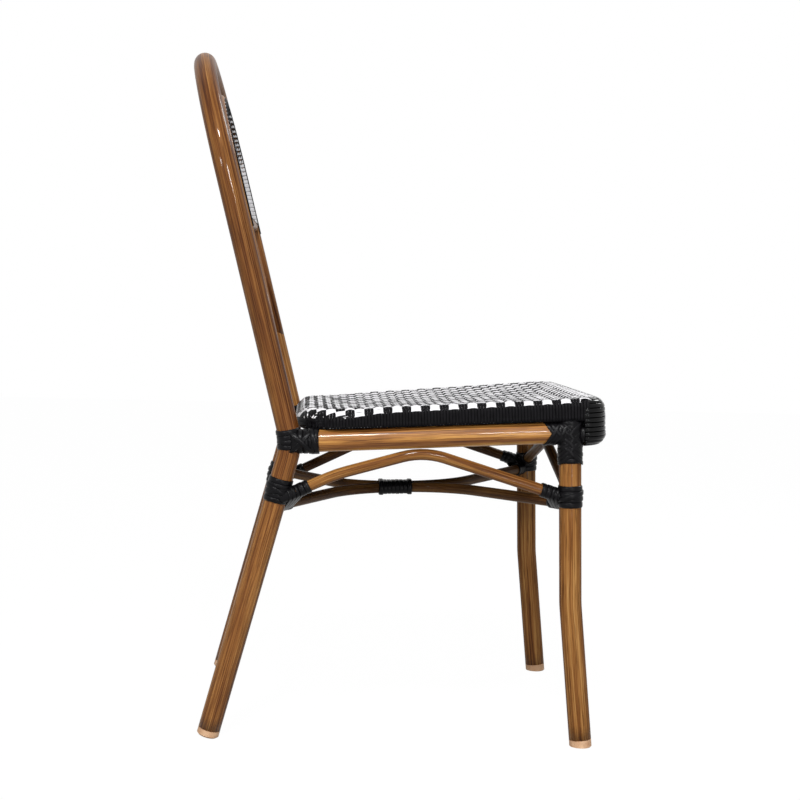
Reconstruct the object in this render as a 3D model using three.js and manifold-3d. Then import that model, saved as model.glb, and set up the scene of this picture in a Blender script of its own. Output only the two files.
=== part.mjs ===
import * as THREE from 'three';
import { mergeVertices } from 'three/addons/utils/BufferGeometryUtils.js';
import Module from 'manifold-3d';

const wasm = await Module();
wasm.setup();

// A bistro chair of bent aluminium tube with woven plastic strand.
// Millimetres, +Z up, the sitter faces -Y, the left side is +X.

// Tubes
const mainDiameter = 29;
const mainWall = 1.6;
const crossDiameter = 22;
const crossWall = 1.4;
const braceDiameter = 14.6;
const braceWall = 1.2;
const innerHoopDiameter = 15;
const fitGap = 0.3;

// Front legs: foot, knee and top of each tube's axis
const frontLegSpacing = 424;
const frontFootY = -249;
const frontKneeY = -229.4;
const frontKneeZ = 188;
const frontKneeRadius = 160;
const frontTopY = -221.6;

// Seat deck, measured along the tilted top of the side rails
const seatDepth = 374;
const seatFrontOverhang = 34.5;
const seatRearRadius = 50;
const seatFrontRadius = 17;
const seatSkinThickness = 3.2;
const seatWeaveThickness = 6;
const seatEdgeRadius = 5;
const apronDrop = 33;
const seatCrossBarDiameter = 16;
const seatCrossBarShare = 0.52;

// Back hoop: feet, bend behind the seat, leaning uprights and an elliptical arch
const hoopSetIn = 4;
const hoopWidth = frontLegSpacing - 2 * hoopSetIn;
const rearFootSetIn = 20;
const rearFootSpacing = hoopWidth - 2 * rearFootSetIn;
const hoopBehindSeat = 19.2;
const hoopBendY = frontTopY + seatDepth - seatFrontOverhang + hoopBehindSeat;
const rearFootRake = 102.2;
const rearFootY = hoopBendY + rearFootRake;
const hoopBendZ = 388.3;
const hoopBendRadius = 75;
const backLean = THREE.MathUtils.degToRad(14.5);
const uprightLength = 357;
const archRise = 165.8;

// Side rails: height of the axis where it meets the hoop and the front leg
const railRearZ = 391.8;
const railFrontZ = 411.8;
const railShortOfAxis = 6;

// Braces under the seat, along the run from the front legs to the hoop
const railRun = hoopBendY - frontTopY;
const sideArchFrontZ = 324.5;
const sideArchApexShare = 0.5258;
const sideArchApexY = frontTopY + railRun * sideArchApexShare;
const sideArchApexRadius = 100;
const sideArchRearZ = { right: 316, left: 290 };
const sideArchKneeShare = 0.8352;
const sideArchKneeY = frontTopY + railRun * sideArchKneeShare;
const sideArchKneeRise = { right: 7.5, left: 0 };
const sideArchKneeRadius = 180;
const crossArchEndZ = { front: 330, rear: 324 };
const crossArchApexRadius = 110;
const bowFrontZ = 315;
const bowRearZ = 307;
const bowMiddleShare = 0.5927;
const bowMiddleY = frontTopY + railRun * bowMiddleShare;
const bowMiddleZ = 310;
const bowAimPastMiddle = 95;

// Inner hoop and woven back panel, measured in the plane of the outer hoop
const innerHoopInset = 52;
const innerHoopForward = 10;
const innerHoopFootForward = 7;
const innerHoopFootRise = 128;
const innerHoopBendRise = 208;
const innerHoopBendRadius = 70;
const innerHoopTopInset = 52;
const panelBottomRise = 296;
const panelThickness = 6;
const panelSkinThickness = 2.6;

// Strand bindings over the joints
const bindingThickness = 3;
const lobeThickness = 2.4;
const frontCornerDrop = 42;
const frontCornerRun = 18;
const frontLowerBinding = { bottom: 314, top: 343 };
const rearLowerBinding = { bottom: 307, top: 344 };
const rearUpperBindingShares = { start: 0.33, end: 0.97 };
const rearUpperRun = 24;
const lobeRun = 20;
const wrapBelowSeat = 2;
const centreBindingLength = 50;

// Foot glides
const glideHeight = 10;
const glideChamfer = 2.2;
const glideStemLength = 16;
const frontSoleDepth = 2.4;
const rearSoleRise = 2.6;

// Roundness of the faceted forms
const mainSides = 14;
const crossSides = 10;
const braceSides = 8;
const glideSides = 16;
const stepAngle = THREE.MathUtils.degToRad(16);
const archSteps = 14;
const innerArchSteps = 12;
const outlineCurveSegments = 4;
const seatEdgeSegments = 2;
const cutOverrun = 40;

const mainRadius = mainDiameter / 2;
const crossRadius = crossDiameter / 2;
const braceRadius = braceDiameter / 2;
const innerHoopRadius = innerHoopDiameter / 2;
const sides = { left: 1, right: -1 };
const at = (x, y, z) => new THREE.Vector3(x, y, z);
const between = (a, b, share) => a.clone().lerp(b, share);
const heading = (from, to) => to.clone().sub(from).normalize();

// A path is a list of stations, each a point and the direction of travel there
const station = (point, direction) => ({ point, direction });

class StationCurve extends THREE.Curve {
  constructor(stations) {
    super();
    this.stations = stations;
  }

  nearest(u) {
    return this.stations[Math.round(u * (this.stations.length - 1))];
  }

  getPointAt(u) {
    return this.nearest(u).point.clone();
  }

  getTangentAt(u) {
    return this.nearest(u).direction.clone();
  }
}

// Stations of the arc that rounds a corner between two straight runs, or of a share of it
function roundedCorner(before, corner, after, radius, shares = { start: 0, end: 1 }) {
  const inward = heading(corner, before);
  const outward = heading(corner, after);
  const turn = Math.PI - inward.angleTo(outward);
  const reach = radius * Math.tan(turn / 2);
  const axis = inward.clone().cross(outward).normalize().negate();
  const travel = inward.clone().negate();
  const start = corner.clone().addScaledVector(inward, reach);
  const centre = start.clone().addScaledVector(axis.clone().cross(travel), radius);
  const count = Math.max(2, Math.ceil(turn / stepAngle));
  const stations = [];
  for (let i = 0; i <= count; i++) {
    const angle = turn * THREE.MathUtils.lerp(shares.start, shares.end, i / count);
    const point = start.clone().sub(centre).applyAxisAngle(axis, angle).add(centre);
    stations.push(station(point, travel.clone().applyAxisAngle(axis, angle)));
  }
  return stations;
}

// A bent tube's path: straight runs through the corners, each rounded by its radius
function bentPath(start, corners, end) {
  const points = [start, ...corners.map((corner) => corner.point), end];
  const stations = [station(start, heading(start, points[1]))];
  corners.forEach((corner, i) => {
    stations.push(...roundedCorner(points[i], corner.point, points[i + 2], corner.radius));
  });
  stations.push(station(end, heading(points[points.length - 2], end)));
  return stations;
}

function circlePoints(radius, count) {
  return Array.from({ length: count }, (_, i) => {
    const angle = 2 * Math.PI * i / count;
    return new THREE.Vector2(radius * Math.cos(angle), radius * Math.sin(angle));
  });
}

function sweep(section, stations) {
  return new THREE.ExtrudeGeometry(section, {
    extrudePath: new StationCurve(stations),
    steps: stations.length - 1,
    bevelEnabled: false,
  });
}

function tube(stations, radius, wall, count) {
  const section = new THREE.Shape(circlePoints(radius, count));
  section.holes.push(new THREE.Path(circlePoints(radius - wall, count).reverse()));
  return sweep(section, stations);
}

function rod(stations, radius, count) {
  return sweep(new THREE.Shape(circlePoints(radius, count)), stations);
}

const mainTube = (stations) => tube(stations, mainRadius, mainWall, mainSides);
const crossTube = (stations) => tube(stations, crossRadius, crossWall, crossSides);
const braceTube = (stations) => tube(stations, braceRadius, braceWall, braceSides);
const mainHole = (stations) => rod(stations, mainRadius + fitGap, mainSides);
const straight = (a, b) => [station(a, heading(a, b)), station(b, heading(a, b))];

// Joining and cutting of closed solids
function toSolid(geometry) {
  const bare = geometry.index ? geometry.toNonIndexed() : geometry.clone();
  bare.deleteAttribute('normal');
  bare.deleteAttribute('uv');
  const merged = mergeVertices(bare);
  return new wasm.Manifold(new wasm.Mesh({
    numProp: 3,
    vertProperties: new Float32Array(merged.attributes.position.array),
    triVerts: new Uint32Array(merged.index.array),
  }));
}

// The main body of a cut solid: slivers past a cut fall away
function toGeometry(solid) {
  const body = solid.decompose().reduce((main, other) => (other.volume() > main.volume() ? other : main));
  const mesh = body.getMesh();
  const geometry = new THREE.BufferGeometry();
  geometry.setAttribute('position', new THREE.BufferAttribute(mesh.vertProperties, mesh.numProp));
  geometry.setIndex(new THREE.BufferAttribute(mesh.triVerts, 1));
  geometry.computeVertexNormals();
  return geometry;
}

const joined = (geometries) => geometries.map(toSolid).reduce((sum, solid) => sum.add(solid));
const cutBy = (solid, geometries) => geometries.map(toSolid).reduce((rest, tool) => rest.subtract(tool), solid);

// A tube whose ends run to the axes of thicker tubes and are coped to them
const coped = (geometry, paths) => toGeometry(cutBy(toSolid(geometry), paths.map(mainHole)));

// Finishes
const finish = (color, roughness, metalness = 0) =>
  new THREE.MeshStandardMaterial({ color, roughness, metalness });
const caneFinish = () => finish(0x9a6236, 0.3);
const strandFinish = () => finish(0x131214, 0.42);
const weaveFinish = () => finish(0x6d6c6e, 0.5);
const glideFinish = () => finish(0xc9a27c, 0.6);

const chair = new THREE.Group();

function add(name, geometry, material, parent = chair) {
  const mesh = new THREE.Mesh(geometry, material);
  mesh.name = name;
  parent.add(mesh);
  return mesh;
}

// Seat deck frame: a tilted plane that lies on top of the two side rails
const seatTilt = Math.atan2(railFrontZ - railRearZ, railRun);
const deckOrigin = at(0, frontTopY, railFrontZ)
  .add(at(0, Math.sin(seatTilt), Math.cos(seatTilt)).multiplyScalar(mainRadius));
const deckToChair = new THREE.Matrix4()
  .makeRotationX(-seatTilt)
  .setPosition(deckOrigin);
const chairToDeck = deckToChair.clone().invert();
const onDeck = (x, y, z) => at(x, y, z).applyMatrix4(deckToChair);

// A point on a side rail's axis
function onRail(side, y) {
  const z = railFrontZ - (y - frontTopY) * Math.tan(seatTilt);
  return at(side * frontLegSpacing / 2, y, z);
}

// Front legs
const frontX = (side) => side * frontLegSpacing / 2;
const frontFoot = (side) => at(frontX(side), frontFootY, 0);
const frontKnee = (side) => at(frontX(side), frontKneeY, frontKneeZ);

function alongFrontLeg(side, z) {
  const share = (z - frontKneeZ) / (railFrontZ - frontKneeZ);
  return between(frontKnee(side), at(frontX(side), frontTopY, railFrontZ), share);
}

const frontTop = (side) => alongFrontLeg(side, railFrontZ + mainRadius - fitGap);

function frontLegPath(side) {
  const foot = frontFoot(side);
  const start = foot.clone().addScaledVector(heading(foot, frontKnee(side)), glideHeight + fitGap);
  return bentPath(start, [{ point: frontKnee(side), radius: frontKneeRadius }], frontTop(side));
}

// Back hoop
const hoopBend = (side) => at(side * hoopWidth / 2, hoopBendY, hoopBendZ);
const rearFoot = (side) => at(side * rearFootSpacing / 2, rearFootY, 0);
const rearLegAt = (side, z) => between(rearFoot(side), hoopBend(side), z / hoopBendZ);

// A point in the leaning plane of the back: across, up the plane and forward of it
function onBack(x, rise, forward = 0) {
  const y = hoopBendY + rise * Math.sin(backLean) - forward * Math.cos(backLean);
  const z = hoopBendZ + rise * Math.cos(backLean) + forward * Math.sin(backLean);
  return at(x, y, z);
}

// Stations of an elliptical arch from the right side over to the left
function archStations(halfWidth, start, rise, forward, steps) {
  const stations = [];
  for (let i = 0; i <= steps; i++) {
    const angle = Math.PI * i / steps;
    const across = -halfWidth * Math.cos(angle);
    const up = rise * Math.sin(angle);
    const origin = onBack(0, 0, forward);
    const direction = onBack(halfWidth * Math.sin(angle), rise * Math.cos(angle), forward).sub(origin);
    stations.push(station(onBack(across, start + up, forward), direction.normalize()));
  }
  return stations;
}

// The other half of a path, turned round so that the travel goes on
function mirroredBack(stations) {
  return stations.map(({ point, direction }) => station(
    point.clone().multiply(at(-1, 1, 1)),
    direction.clone().multiply(at(1, -1, -1)),
  )).reverse();
}

function backHoopPath() {
  const side = sides.right;
  const foot = rearFoot(side);
  const start = foot.clone().addScaledVector(heading(foot, hoopBend(side)), glideHeight + rearSoleRise + fitGap);
  const springing = onBack(side * hoopWidth / 2, uprightLength);
  const rise = bentPath(start, [{ point: hoopBend(side), radius: hoopBendRadius }], springing);
  rise.pop();
  const arch = archStations(hoopWidth / 2, uprightLength, archRise, 0, archSteps);
  return [...rise, ...arch, ...mirroredBack(rise)];
}

// Inner hoop: its feet run into the uprights and are coped to them
const innerHalfWidth = hoopWidth / 2 - innerHoopInset;
const innerArchRise = archRise - innerHoopTopInset;

function innerHoopPath() {
  const side = sides.right;
  const foot = onBack(side * hoopWidth / 2, innerHoopFootRise, innerHoopFootForward);
  const bend = onBack(side * innerHalfWidth, innerHoopBendRise, innerHoopForward);
  const springing = onBack(side * innerHalfWidth, uprightLength, innerHoopForward);
  const rise = bentPath(foot, [{ point: bend, radius: innerHoopBendRadius }], springing);
  rise.pop();
  const arch = archStations(innerHalfWidth, uprightLength, innerArchRise, innerHoopForward, innerArchSteps);
  return [...rise, ...arch, ...mirroredBack(rise)];
}

const innerHoop = () => coped(tube(innerHoopPath(), innerHoopRadius, braceWall, braceSides), [backHoopPath()]);

function panelBarPath() {
  const end = innerHalfWidth - innerHoopRadius - fitGap;
  return straight(
    onBack(-end, panelBottomRise, innerHoopForward),
    onBack(end, panelBottomRise, innerHoopForward),
  );
}

// Woven back: a thin panel that fills the inner hoop and wraps round its tube
function backWeave() {
  const skin = innerHoopRadius + panelSkinThickness;
  const sleevePath = [
    station(onBack(-innerHalfWidth, panelBottomRise - skin, innerHoopForward), onBack(0, 1).sub(onBack(0, 0))),
    ...archStations(innerHalfWidth, uprightLength, innerArchRise, innerHoopForward, innerArchSteps),
    station(onBack(innerHalfWidth, panelBottomRise - skin, innerHoopForward), onBack(0, -1).sub(onBack(0, 0))),
  ];
  const outline = new THREE.Shape();
  outline.moveTo(-innerHalfWidth, panelBottomRise);
  outline.lineTo(innerHalfWidth, panelBottomRise);
  for (let i = 0; i <= innerArchSteps; i++) {
    const angle = Math.PI * i / innerArchSteps;
    outline.lineTo(innerHalfWidth * Math.cos(angle), uprightLength + innerArchRise * Math.sin(angle));
  }
  const plate = new THREE.ExtrudeGeometry(outline, { depth: panelThickness, bevelEnabled: false });
  plate.translate(0, 0, -panelThickness / 2);
  const planeToChair = new THREE.Matrix4().makeBasis(
    at(1, 0, 0),
    onBack(0, 1).sub(onBack(0, 0)),
    onBack(0, 0, 1).sub(onBack(0, 0)),
  );
  planeToChair.setPosition(onBack(0, 0, innerHoopForward));
  plate.applyMatrix4(planeToChair);
  const barSleeve = straight(
    onBack(-innerHalfWidth, panelBottomRise, innerHoopForward),
    onBack(innerHalfWidth, panelBottomRise, innerHoopForward),
  );
  const skinned = joined([
    rod(sleevePath, skin, braceSides),
    rod(barSleeve, skin, braceSides),
    plate,
  ]);
  return toGeometry(cutBy(skinned, [
    rod(innerHoopPath(), innerHoopRadius + fitGap, braceSides),
    rod(barSleeve, innerHoopRadius + fitGap, braceSides),
  ]));
}

// Cross rails between the side frames
const frontCrossZ = railFrontZ - mainRadius + fitGap;
const frontCross = (side) => alongFrontLeg(side, frontCrossZ);
const rearCross = (side) => {
  const turn = Math.PI - heading(hoopBend(side), rearFoot(side)).angleTo(onBack(0, 1).sub(onBack(0, 0)));
  const sagitta = hoopBendRadius * (1 / Math.cos(turn / 2) - 1);
  return hoopBend(side).add(at(0, sagitta, 0));
};

const frontLegPaths = () => [frontLegPath(sides.left), frontLegPath(sides.right)];
const legPaths = () => [backHoopPath(), ...frontLegPaths()];
const frontCrossPath = () => straight(frontCross(sides.right), frontCross(sides.left));
const rearCrossPath = () => straight(rearCross(sides.right), rearCross(sides.left));

// Side rails, butted between the hoop and the front leg
const railEndY = hoopBendY - railShortOfAxis;
const sideRailPath = (side) => straight(onRail(side, frontTopY), onRail(side, railEndY));
const railHole = (side) => mainHole(straight(onRail(side, frontTopY - fitGap), onRail(side, railEndY + fitGap)));

// Side arches: straight legs and a rounded apex just under the side rail
function sideArchPath(name) {
  const side = sides[name];
  const x = side * frontLegSpacing / 2;
  const rearLeg = rearLegAt(side, sideArchRearZ[name]);
  const frontLeg = alongFrontLeg(side, sideArchFrontZ);
  const front = at(x, frontLeg.y, sideArchFrontZ);
  const rear = at(x, rearLeg.y, sideArchRearZ[name]);
  const knee = sideArchKneeRise[name] > 0;
  const apexZ = onRail(side, sideArchApexY).z - mainRadius - fitGap - braceRadius;
  const placeApex = (z) => at(x, sideArchApexY, z);
  const kneePoint = (apex) => {
    const share = (rear.y - sideArchKneeY) / (rear.y - sideArchApexY);
    return between(rear, apex, share).add(at(0, 0, sideArchKneeRise[name]));
  };
  const rounding = (apex) => {
    const behind = knee ? kneePoint(apex) : rear;
    const turn = Math.PI - heading(apex, front).angleTo(heading(apex, behind));
    return sideArchApexRadius * (1 / Math.cos(turn / 2) - 1);
  };
  const apex = placeApex(apexZ + rounding(placeApex(apexZ)));
  const corners = [{ point: apex, radius: sideArchApexRadius }];
  if (knee) corners.push({ point: kneePoint(apex), radius: sideArchKneeRadius });
  return bentPath(front, corners, rear);
}

// Arches between the front legs and between the rear legs
function crossArchPath(anchorAt, endZ, top) {
  const start = anchorAt(sides.right, endZ);
  const end = anchorAt(sides.left, endZ);
  const crownZ = top.z - crossRadius - fitGap - braceRadius;
  const crown = at(0, top.y, crownZ);
  const turn = Math.PI - heading(crown, start).angleTo(heading(crown, end));
  crown.z += crossArchApexRadius * (1 / Math.cos(turn / 2) - 1);
  return bentPath(start, [{ point: crown, radius: crossArchApexRadius }], end);
}

const frontArchPath = () => crossArchPath(alongFrontLeg, crossArchEndZ.front, frontCross(sides.left));
const rearArchPath = () => crossArchPath(rearLegAt, crossArchEndZ.rear, rearCross(sides.left));

// Bow stretchers: each runs from a front leg in to the middle and out to the rear leg
function bowPath(side) {
  const front = alongFrontLeg(side, bowFrontZ);
  const rear = rearLegAt(side, bowRearZ);
  const vertex = at(-side * bowAimPastMiddle, bowMiddleY, bowMiddleZ);
  const toFront = heading(vertex, front);
  const toRear = heading(vertex, rear);
  const halfTurn = (Math.PI - toFront.angleTo(toRear)) / 2;
  const bisector = toFront.add(toRear).normalize();
  const fromVertex = bowAimPastMiddle + braceRadius + fitGap / 2;
  const radius = fromVertex / (Math.abs(bisector.x) / Math.cos(halfTurn) - 1);
  return bentPath(front, [{ point: vertex, radius }], rear);
}

// Seat frame: a loop of tube under the weave, butted at the middle of its rear bar
const seatFrontY = -seatFrontOverhang;
const seatRearY = seatDepth - seatFrontOverhang;
const seatFrameZ = fitGap + crossRadius;

function seatFramePath() {
  const half = frontLegSpacing / 2;
  const corner = (x, y, radius) => ({ point: onDeck(x, y, seatFrameZ), radius });
  return bentPath(
    onDeck(fitGap / 2, seatRearY, seatFrameZ),
    [
      corner(half, seatRearY, seatRearRadius),
      corner(half, seatFrontY, seatFrontRadius),
      corner(-half, seatFrontY, seatFrontRadius),
      corner(-half, seatRearY, seatRearRadius),
    ],
    onDeck(-fitGap / 2, seatRearY, seatFrameZ),
  );
}

function seatCrossBar() {
  const y = seatFrontY + seatDepth * seatCrossBarShare;
  const end = frontLegSpacing / 2 - crossRadius - fitGap;
  const path = straight(onDeck(-end, y, seatFrameZ), onDeck(end, y, seatFrameZ));
  return tube(path, seatCrossBarDiameter / 2, braceWall, braceSides);
}

// Apron bar: below the front of the seat frame, its ends turned back to the front legs
const apronBarZ = seatSkinThickness + fitGap + crossRadius - apronDrop;

function apronBarPath() {
  const half = frontLegSpacing / 2;
  const level = onDeck(half, seatFrontY, apronBarZ);
  const end = (side) => alongFrontLeg(side, level.z);
  const corner = (side) => ({ point: at(side * half, level.y, level.z), radius: seatFrontRadius });
  return bentPath(end(sides.right), [corner(sides.right), corner(sides.left)], end(sides.left));
}

// Outline of the seat skin on the deck, grown outwards from the frame's axis
function seatOutline(grow) {
  const half = frontLegSpacing / 2 + grow;
  const front = seatFrontY - grow;
  const rear = seatRearY + grow;
  const frontRadius = seatFrontRadius + grow;
  const rearRadius = seatRearRadius + grow;
  const quarter = Math.PI / 2;
  const outline = new THREE.Shape();
  outline.moveTo(-half + frontRadius, front);
  outline.absarc(half - frontRadius, front + frontRadius, frontRadius, -quarter, 0);
  outline.absarc(half - rearRadius, rear - rearRadius, rearRadius, 0, quarter);
  outline.absarc(-half + rearRadius, rear - rearRadius, rearRadius, quarter, 2 * quarter);
  outline.absarc(-half + frontRadius, front + frontRadius, frontRadius, 2 * quarter, 3 * quarter);
  return outline;
}

const seatSkinGrow = crossRadius + fitGap + seatSkinThickness;
const seatTopZ = seatFrameZ + crossRadius + fitGap + seatWeaveThickness;

function prism(shape, low, high, edge = 0) {
  const geometry = new THREE.ExtrudeGeometry(shape, {
    depth: high - low - edge,
    curveSegments: outlineCurveSegments,
    bevelEnabled: edge > 0,
    bevelThickness: edge,
    bevelSize: edge,
    bevelOffset: -edge,
    bevelSegments: seatEdgeSegments,
  });
  return geometry.translate(0, 0, low);
}

function deckBox(low, high) {
  const size = high.clone().sub(low);
  const box = new THREE.BoxGeometry(size.x, size.y, size.z);
  return box.translate((low.x + high.x) / 2, (low.y + high.y) / 2, (low.z + high.z) / 2);
}

// Woven seat: a sheet over the frame with a skin down its sides and rear
function seatWeave() {
  const skin = joined([prism(seatOutline(seatSkinGrow), -seatWeaveThickness, seatTopZ, seatEdgeRadius)]);
  const wide = frontLegSpacing;
  const sheetUnderside = seatTopZ - seatWeaveThickness;
  return toGeometry(cutBy(skin, [
    prism(seatOutline(crossRadius + fitGap), -cutOverrun, sheetUnderside),
    deckBox(at(-wide, -cutOverrun - wide, -cutOverrun), at(wide, wide, fitGap)),
    deckBox(at(-wide, -wide, -cutOverrun), at(wide, seatFrontY + fitGap / 2, seatTopZ + cutOverrun)),
    deckBox(at(-wide, -wide, -cutOverrun), at(wide, seatFrontY + crossRadius, sheetUnderside)),
  ]));
}

// Woven front apron: the same skin carried over the front bar and down round the apron bar
function apronBlock(grow) {
  const low = apronBarZ;
  const high = seatFrameZ;
  const section = new THREE.Shape();
  section.absarc(-high, seatFrontY, grow, Math.PI / 2, 3 * Math.PI / 2);
  section.absarc(-low, seatFrontY, grow, -Math.PI / 2, Math.PI / 2);
  const length = frontLegSpacing + 2 * seatSkinGrow;
  const block = new THREE.ExtrudeGeometry(section, {
    depth: length,
    curveSegments: outlineCurveSegments,
    bevelEnabled: false,
  });
  return block.translate(0, 0, -length / 2).rotateY(Math.PI / 2);
}

function apronWeave() {
  const tall = cutOverrun + apronDrop;
  const outer = toSolid(apronBlock(seatSkinGrow)).intersect(toSolid(prism(seatOutline(seatSkinGrow), -tall, tall)));
  const hollow = toSolid(apronBlock(crossRadius + fitGap))
    .intersect(toSolid(prism(seatOutline(crossRadius + fitGap), -tall, tall)));
  const wide = frontLegSpacing;
  const legFront = at(0, frontTopY - mainRadius - bindingThickness - fitGap, railFrontZ);
  return toGeometry(cutBy(outer.subtract(hollow), [
    deckBox(at(-wide, seatFrontY - fitGap / 2, -fitGap), at(wide, wide, tall)),
    deckBox(at(-wide, legFront.applyMatrix4(chairToDeck).y, -tall), at(wide, wide, tall)),
    crossHole(apronBarPath()).applyMatrix4(chairToDeck),
  ]));
}

// Bindings: a collar on the tube with a lobe along each brace that it ties in
const collar = (path) => rod(path, mainRadius + bindingThickness, mainSides);

function lobe(stations, fromStart) {
  const path = fromStart ? stations : [...stations].reverse();
  const start = path[0].point;
  const end = between(start, path[1].point, (mainRadius + lobeRun) / start.distanceTo(path[1].point));
  return rod(straight(start, end), braceRadius + lobeThickness, braceSides);
}

const braceHole = (stations) => rod(stations, braceRadius + fitGap, braceSides);
const crossHole = (stations) => rod(stations, crossRadius + fitGap, crossSides);

function frontLowerCollar(side) {
  const name = side > 0 ? 'left' : 'right';
  const ring = straight(
    alongFrontLeg(side, frontLowerBinding.bottom),
    alongFrontLeg(side, frontLowerBinding.top),
  );
  const lobes = [lobe(sideArchPath(name), true), lobe(bowPath(side), true), lobe(frontArchPath(), side < 0)];
  const holes = [
    mainHole(frontLegPath(side)),
    braceHole(sideArchPath(name)),
    braceHole(bowPath(side)),
    braceHole(frontArchPath()),
  ];
  return toGeometry(cutBy(joined([collar(ring), ...lobes]), holes));
}

function rearLowerCollar(side) {
  const name = side > 0 ? 'left' : 'right';
  const drop = sideArchRearZ.right - sideArchRearZ[name];
  const ring = straight(
    rearLegAt(side, rearLowerBinding.bottom - drop),
    rearLegAt(side, rearLowerBinding.top - drop),
  );
  const lobes = [lobe(sideArchPath(name), false), lobe(bowPath(side), false), lobe(rearArchPath(), side < 0)];
  const holes = [
    mainHole(backHoopPath()),
    braceHole(sideArchPath(name)),
    braceHole(bowPath(side)),
    braceHole(rearArchPath()),
  ];
  return toGeometry(cutBy(joined([collar(ring), ...lobes]), holes));
}

// The space over the rails that the seat takes, as far back as the given line: wraps stay below it
function seatClearance(rear) {
  const wide = frontLegSpacing;
  return deckBox(at(-wide, -wide, -wrapBelowSeat), at(wide, rear, wide)).applyMatrix4(deckToChair);
}

function frontCornerWrap(side) {
  const top = frontTop(side);
  const rail = sideRailPath(side);
  const length = rail[0].point.distanceTo(rail[1].point);
  const railEnd = between(rail[0].point, rail[1].point, (mainRadius + frontCornerRun) / length);
  const body = joined([
    collar(straight(alongFrontLeg(side, top.z - frontCornerDrop - mainRadius), top)),
    collar(straight(rail[0].point, railEnd)),
  ]);
  const leg = straight(alongFrontLeg(side, frontKneeZ), alongFrontLeg(side, top.z + cutOverrun));
  return toGeometry(cutBy(body, [
    seatClearance(seatRearY),
    mainHole(leg),
    railHole(side),
    crossHole(frontCrossPath()),
    crossHole(apronBarPath()),
  ]));
}

function rearUpperCollar(side) {
  const bend = hoopBend(side);
  const springing = onBack(bend.x, uprightLength);
  const ring = roundedCorner(rearFoot(side), bend, springing, hoopBendRadius, rearUpperBindingShares);
  const rail = sideRailPath(side);
  const length = rail[0].point.distanceTo(rail[1].point);
  const railEnd = between(rail[1].point, rail[0].point, (mainRadius + rearUpperRun) / length);
  const body = joined([
    collar(ring),
    collar(straight(rail[1].point, railEnd)),
  ]);
  return toGeometry(cutBy(body, [
    seatClearance(seatRearY + seatSkinGrow + fitGap),
    mainHole(backHoopPath()),
    railHole(side),
    crossHole(rearCrossPath()),
  ]));
}

function centreBinding() {
  const grow = braceRadius + lobeThickness;
  const half = braceRadius + fitGap / 2;
  const section = new THREE.Shape();
  section.absarc(half, 0, grow, -Math.PI / 2, Math.PI / 2);
  section.absarc(-half, 0, grow, Math.PI / 2, 3 * Math.PI / 2);
  const block = new THREE.ExtrudeGeometry(section, {
    depth: centreBindingLength,
    curveSegments: outlineCurveSegments,
    bevelEnabled: false,
  });
  block.translate(0, 0, -centreBindingLength / 2).rotateX(Math.PI / 2).translate(0, bowMiddleY, bowMiddleZ);
  return toGeometry(cutBy(toSolid(block), [braceHole(bowPath(sides.left)), braceHole(bowPath(sides.right))]));
}

// Foot glides: a stem in the tube and a chamfered sole, trimmed flat on the floor
function footGlide(foot, up, sole) {
  const stem = (mainRadius - mainWall) * Math.cos(Math.PI / mainSides) - fitGap;
  const profile = [
    new THREE.Vector2(0, -sole),
    new THREE.Vector2(mainRadius - glideChamfer, -sole),
    new THREE.Vector2(mainRadius, glideChamfer - sole),
    new THREE.Vector2(mainRadius, glideHeight),
    new THREE.Vector2(stem, glideHeight),
    new THREE.Vector2(stem, glideHeight + glideStemLength),
    new THREE.Vector2(0, glideHeight + glideStemLength),
  ];
  const lathe = new THREE.LatheGeometry(profile, glideSides).rotateX(Math.PI / 2);
  lathe.applyQuaternion(new THREE.Quaternion().setFromUnitVectors(at(0, 0, 1), up));
  lathe.translate(foot.x, foot.y, foot.z);
  const floor = new THREE.BoxGeometry(frontLegSpacing, frontLegSpacing, cutOverrun);
  floor.translate(foot.x, foot.y, -cutOverrun / 2);
  return toGeometry(cutBy(toSolid(lathe), [floor]));
}

function frontGlide(side) {
  return footGlide(frontFoot(side), heading(frontFoot(side), frontKnee(side)), frontSoleDepth);
}

function rearGlide(side) {
  const up = heading(rearFoot(side), hoopBend(side));
  return footGlide(rearFoot(side).addScaledVector(up, rearSoleRise), up, 0);
}

// Assembly
const sideRailPaths = () => [sideRailPath(sides.left), sideRailPath(sides.right)];

add('back_hoop', mainTube(backHoopPath()), caneFinish());
add('inner_back_hoop', innerHoop(), caneFinish());
add('panel_bottom_bar', tube(panelBarPath(), innerHoopRadius, braceWall, braceSides), caneFinish());
add('back_weave', backWeave(), weaveFinish());
add('front_cross_rail', coped(crossTube(frontCrossPath()), [...frontLegPaths(), ...sideRailPaths()]), caneFinish());
add('rear_cross_rail', coped(crossTube(rearCrossPath()), [backHoopPath(), ...sideRailPaths()]), caneFinish());
add('front_arch', coped(braceTube(frontArchPath()), frontLegPaths()), caneFinish());
add('rear_arch', coped(braceTube(rearArchPath()), [backHoopPath()]), caneFinish());
add('seat_frame', crossTube(seatFramePath()), caneFinish());
add('seat_cross_bar', seatCrossBar(), caneFinish());
add('apron_bar', coped(crossTube(apronBarPath()), frontLegPaths()), caneFinish());

const deck = new THREE.Group();
deck.applyMatrix4(deckToChair);
chair.add(deck);
add('seat_weave', seatWeave(), weaveFinish(), deck);
add('apron_weave', apronWeave(), weaveFinish(), deck);

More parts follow.
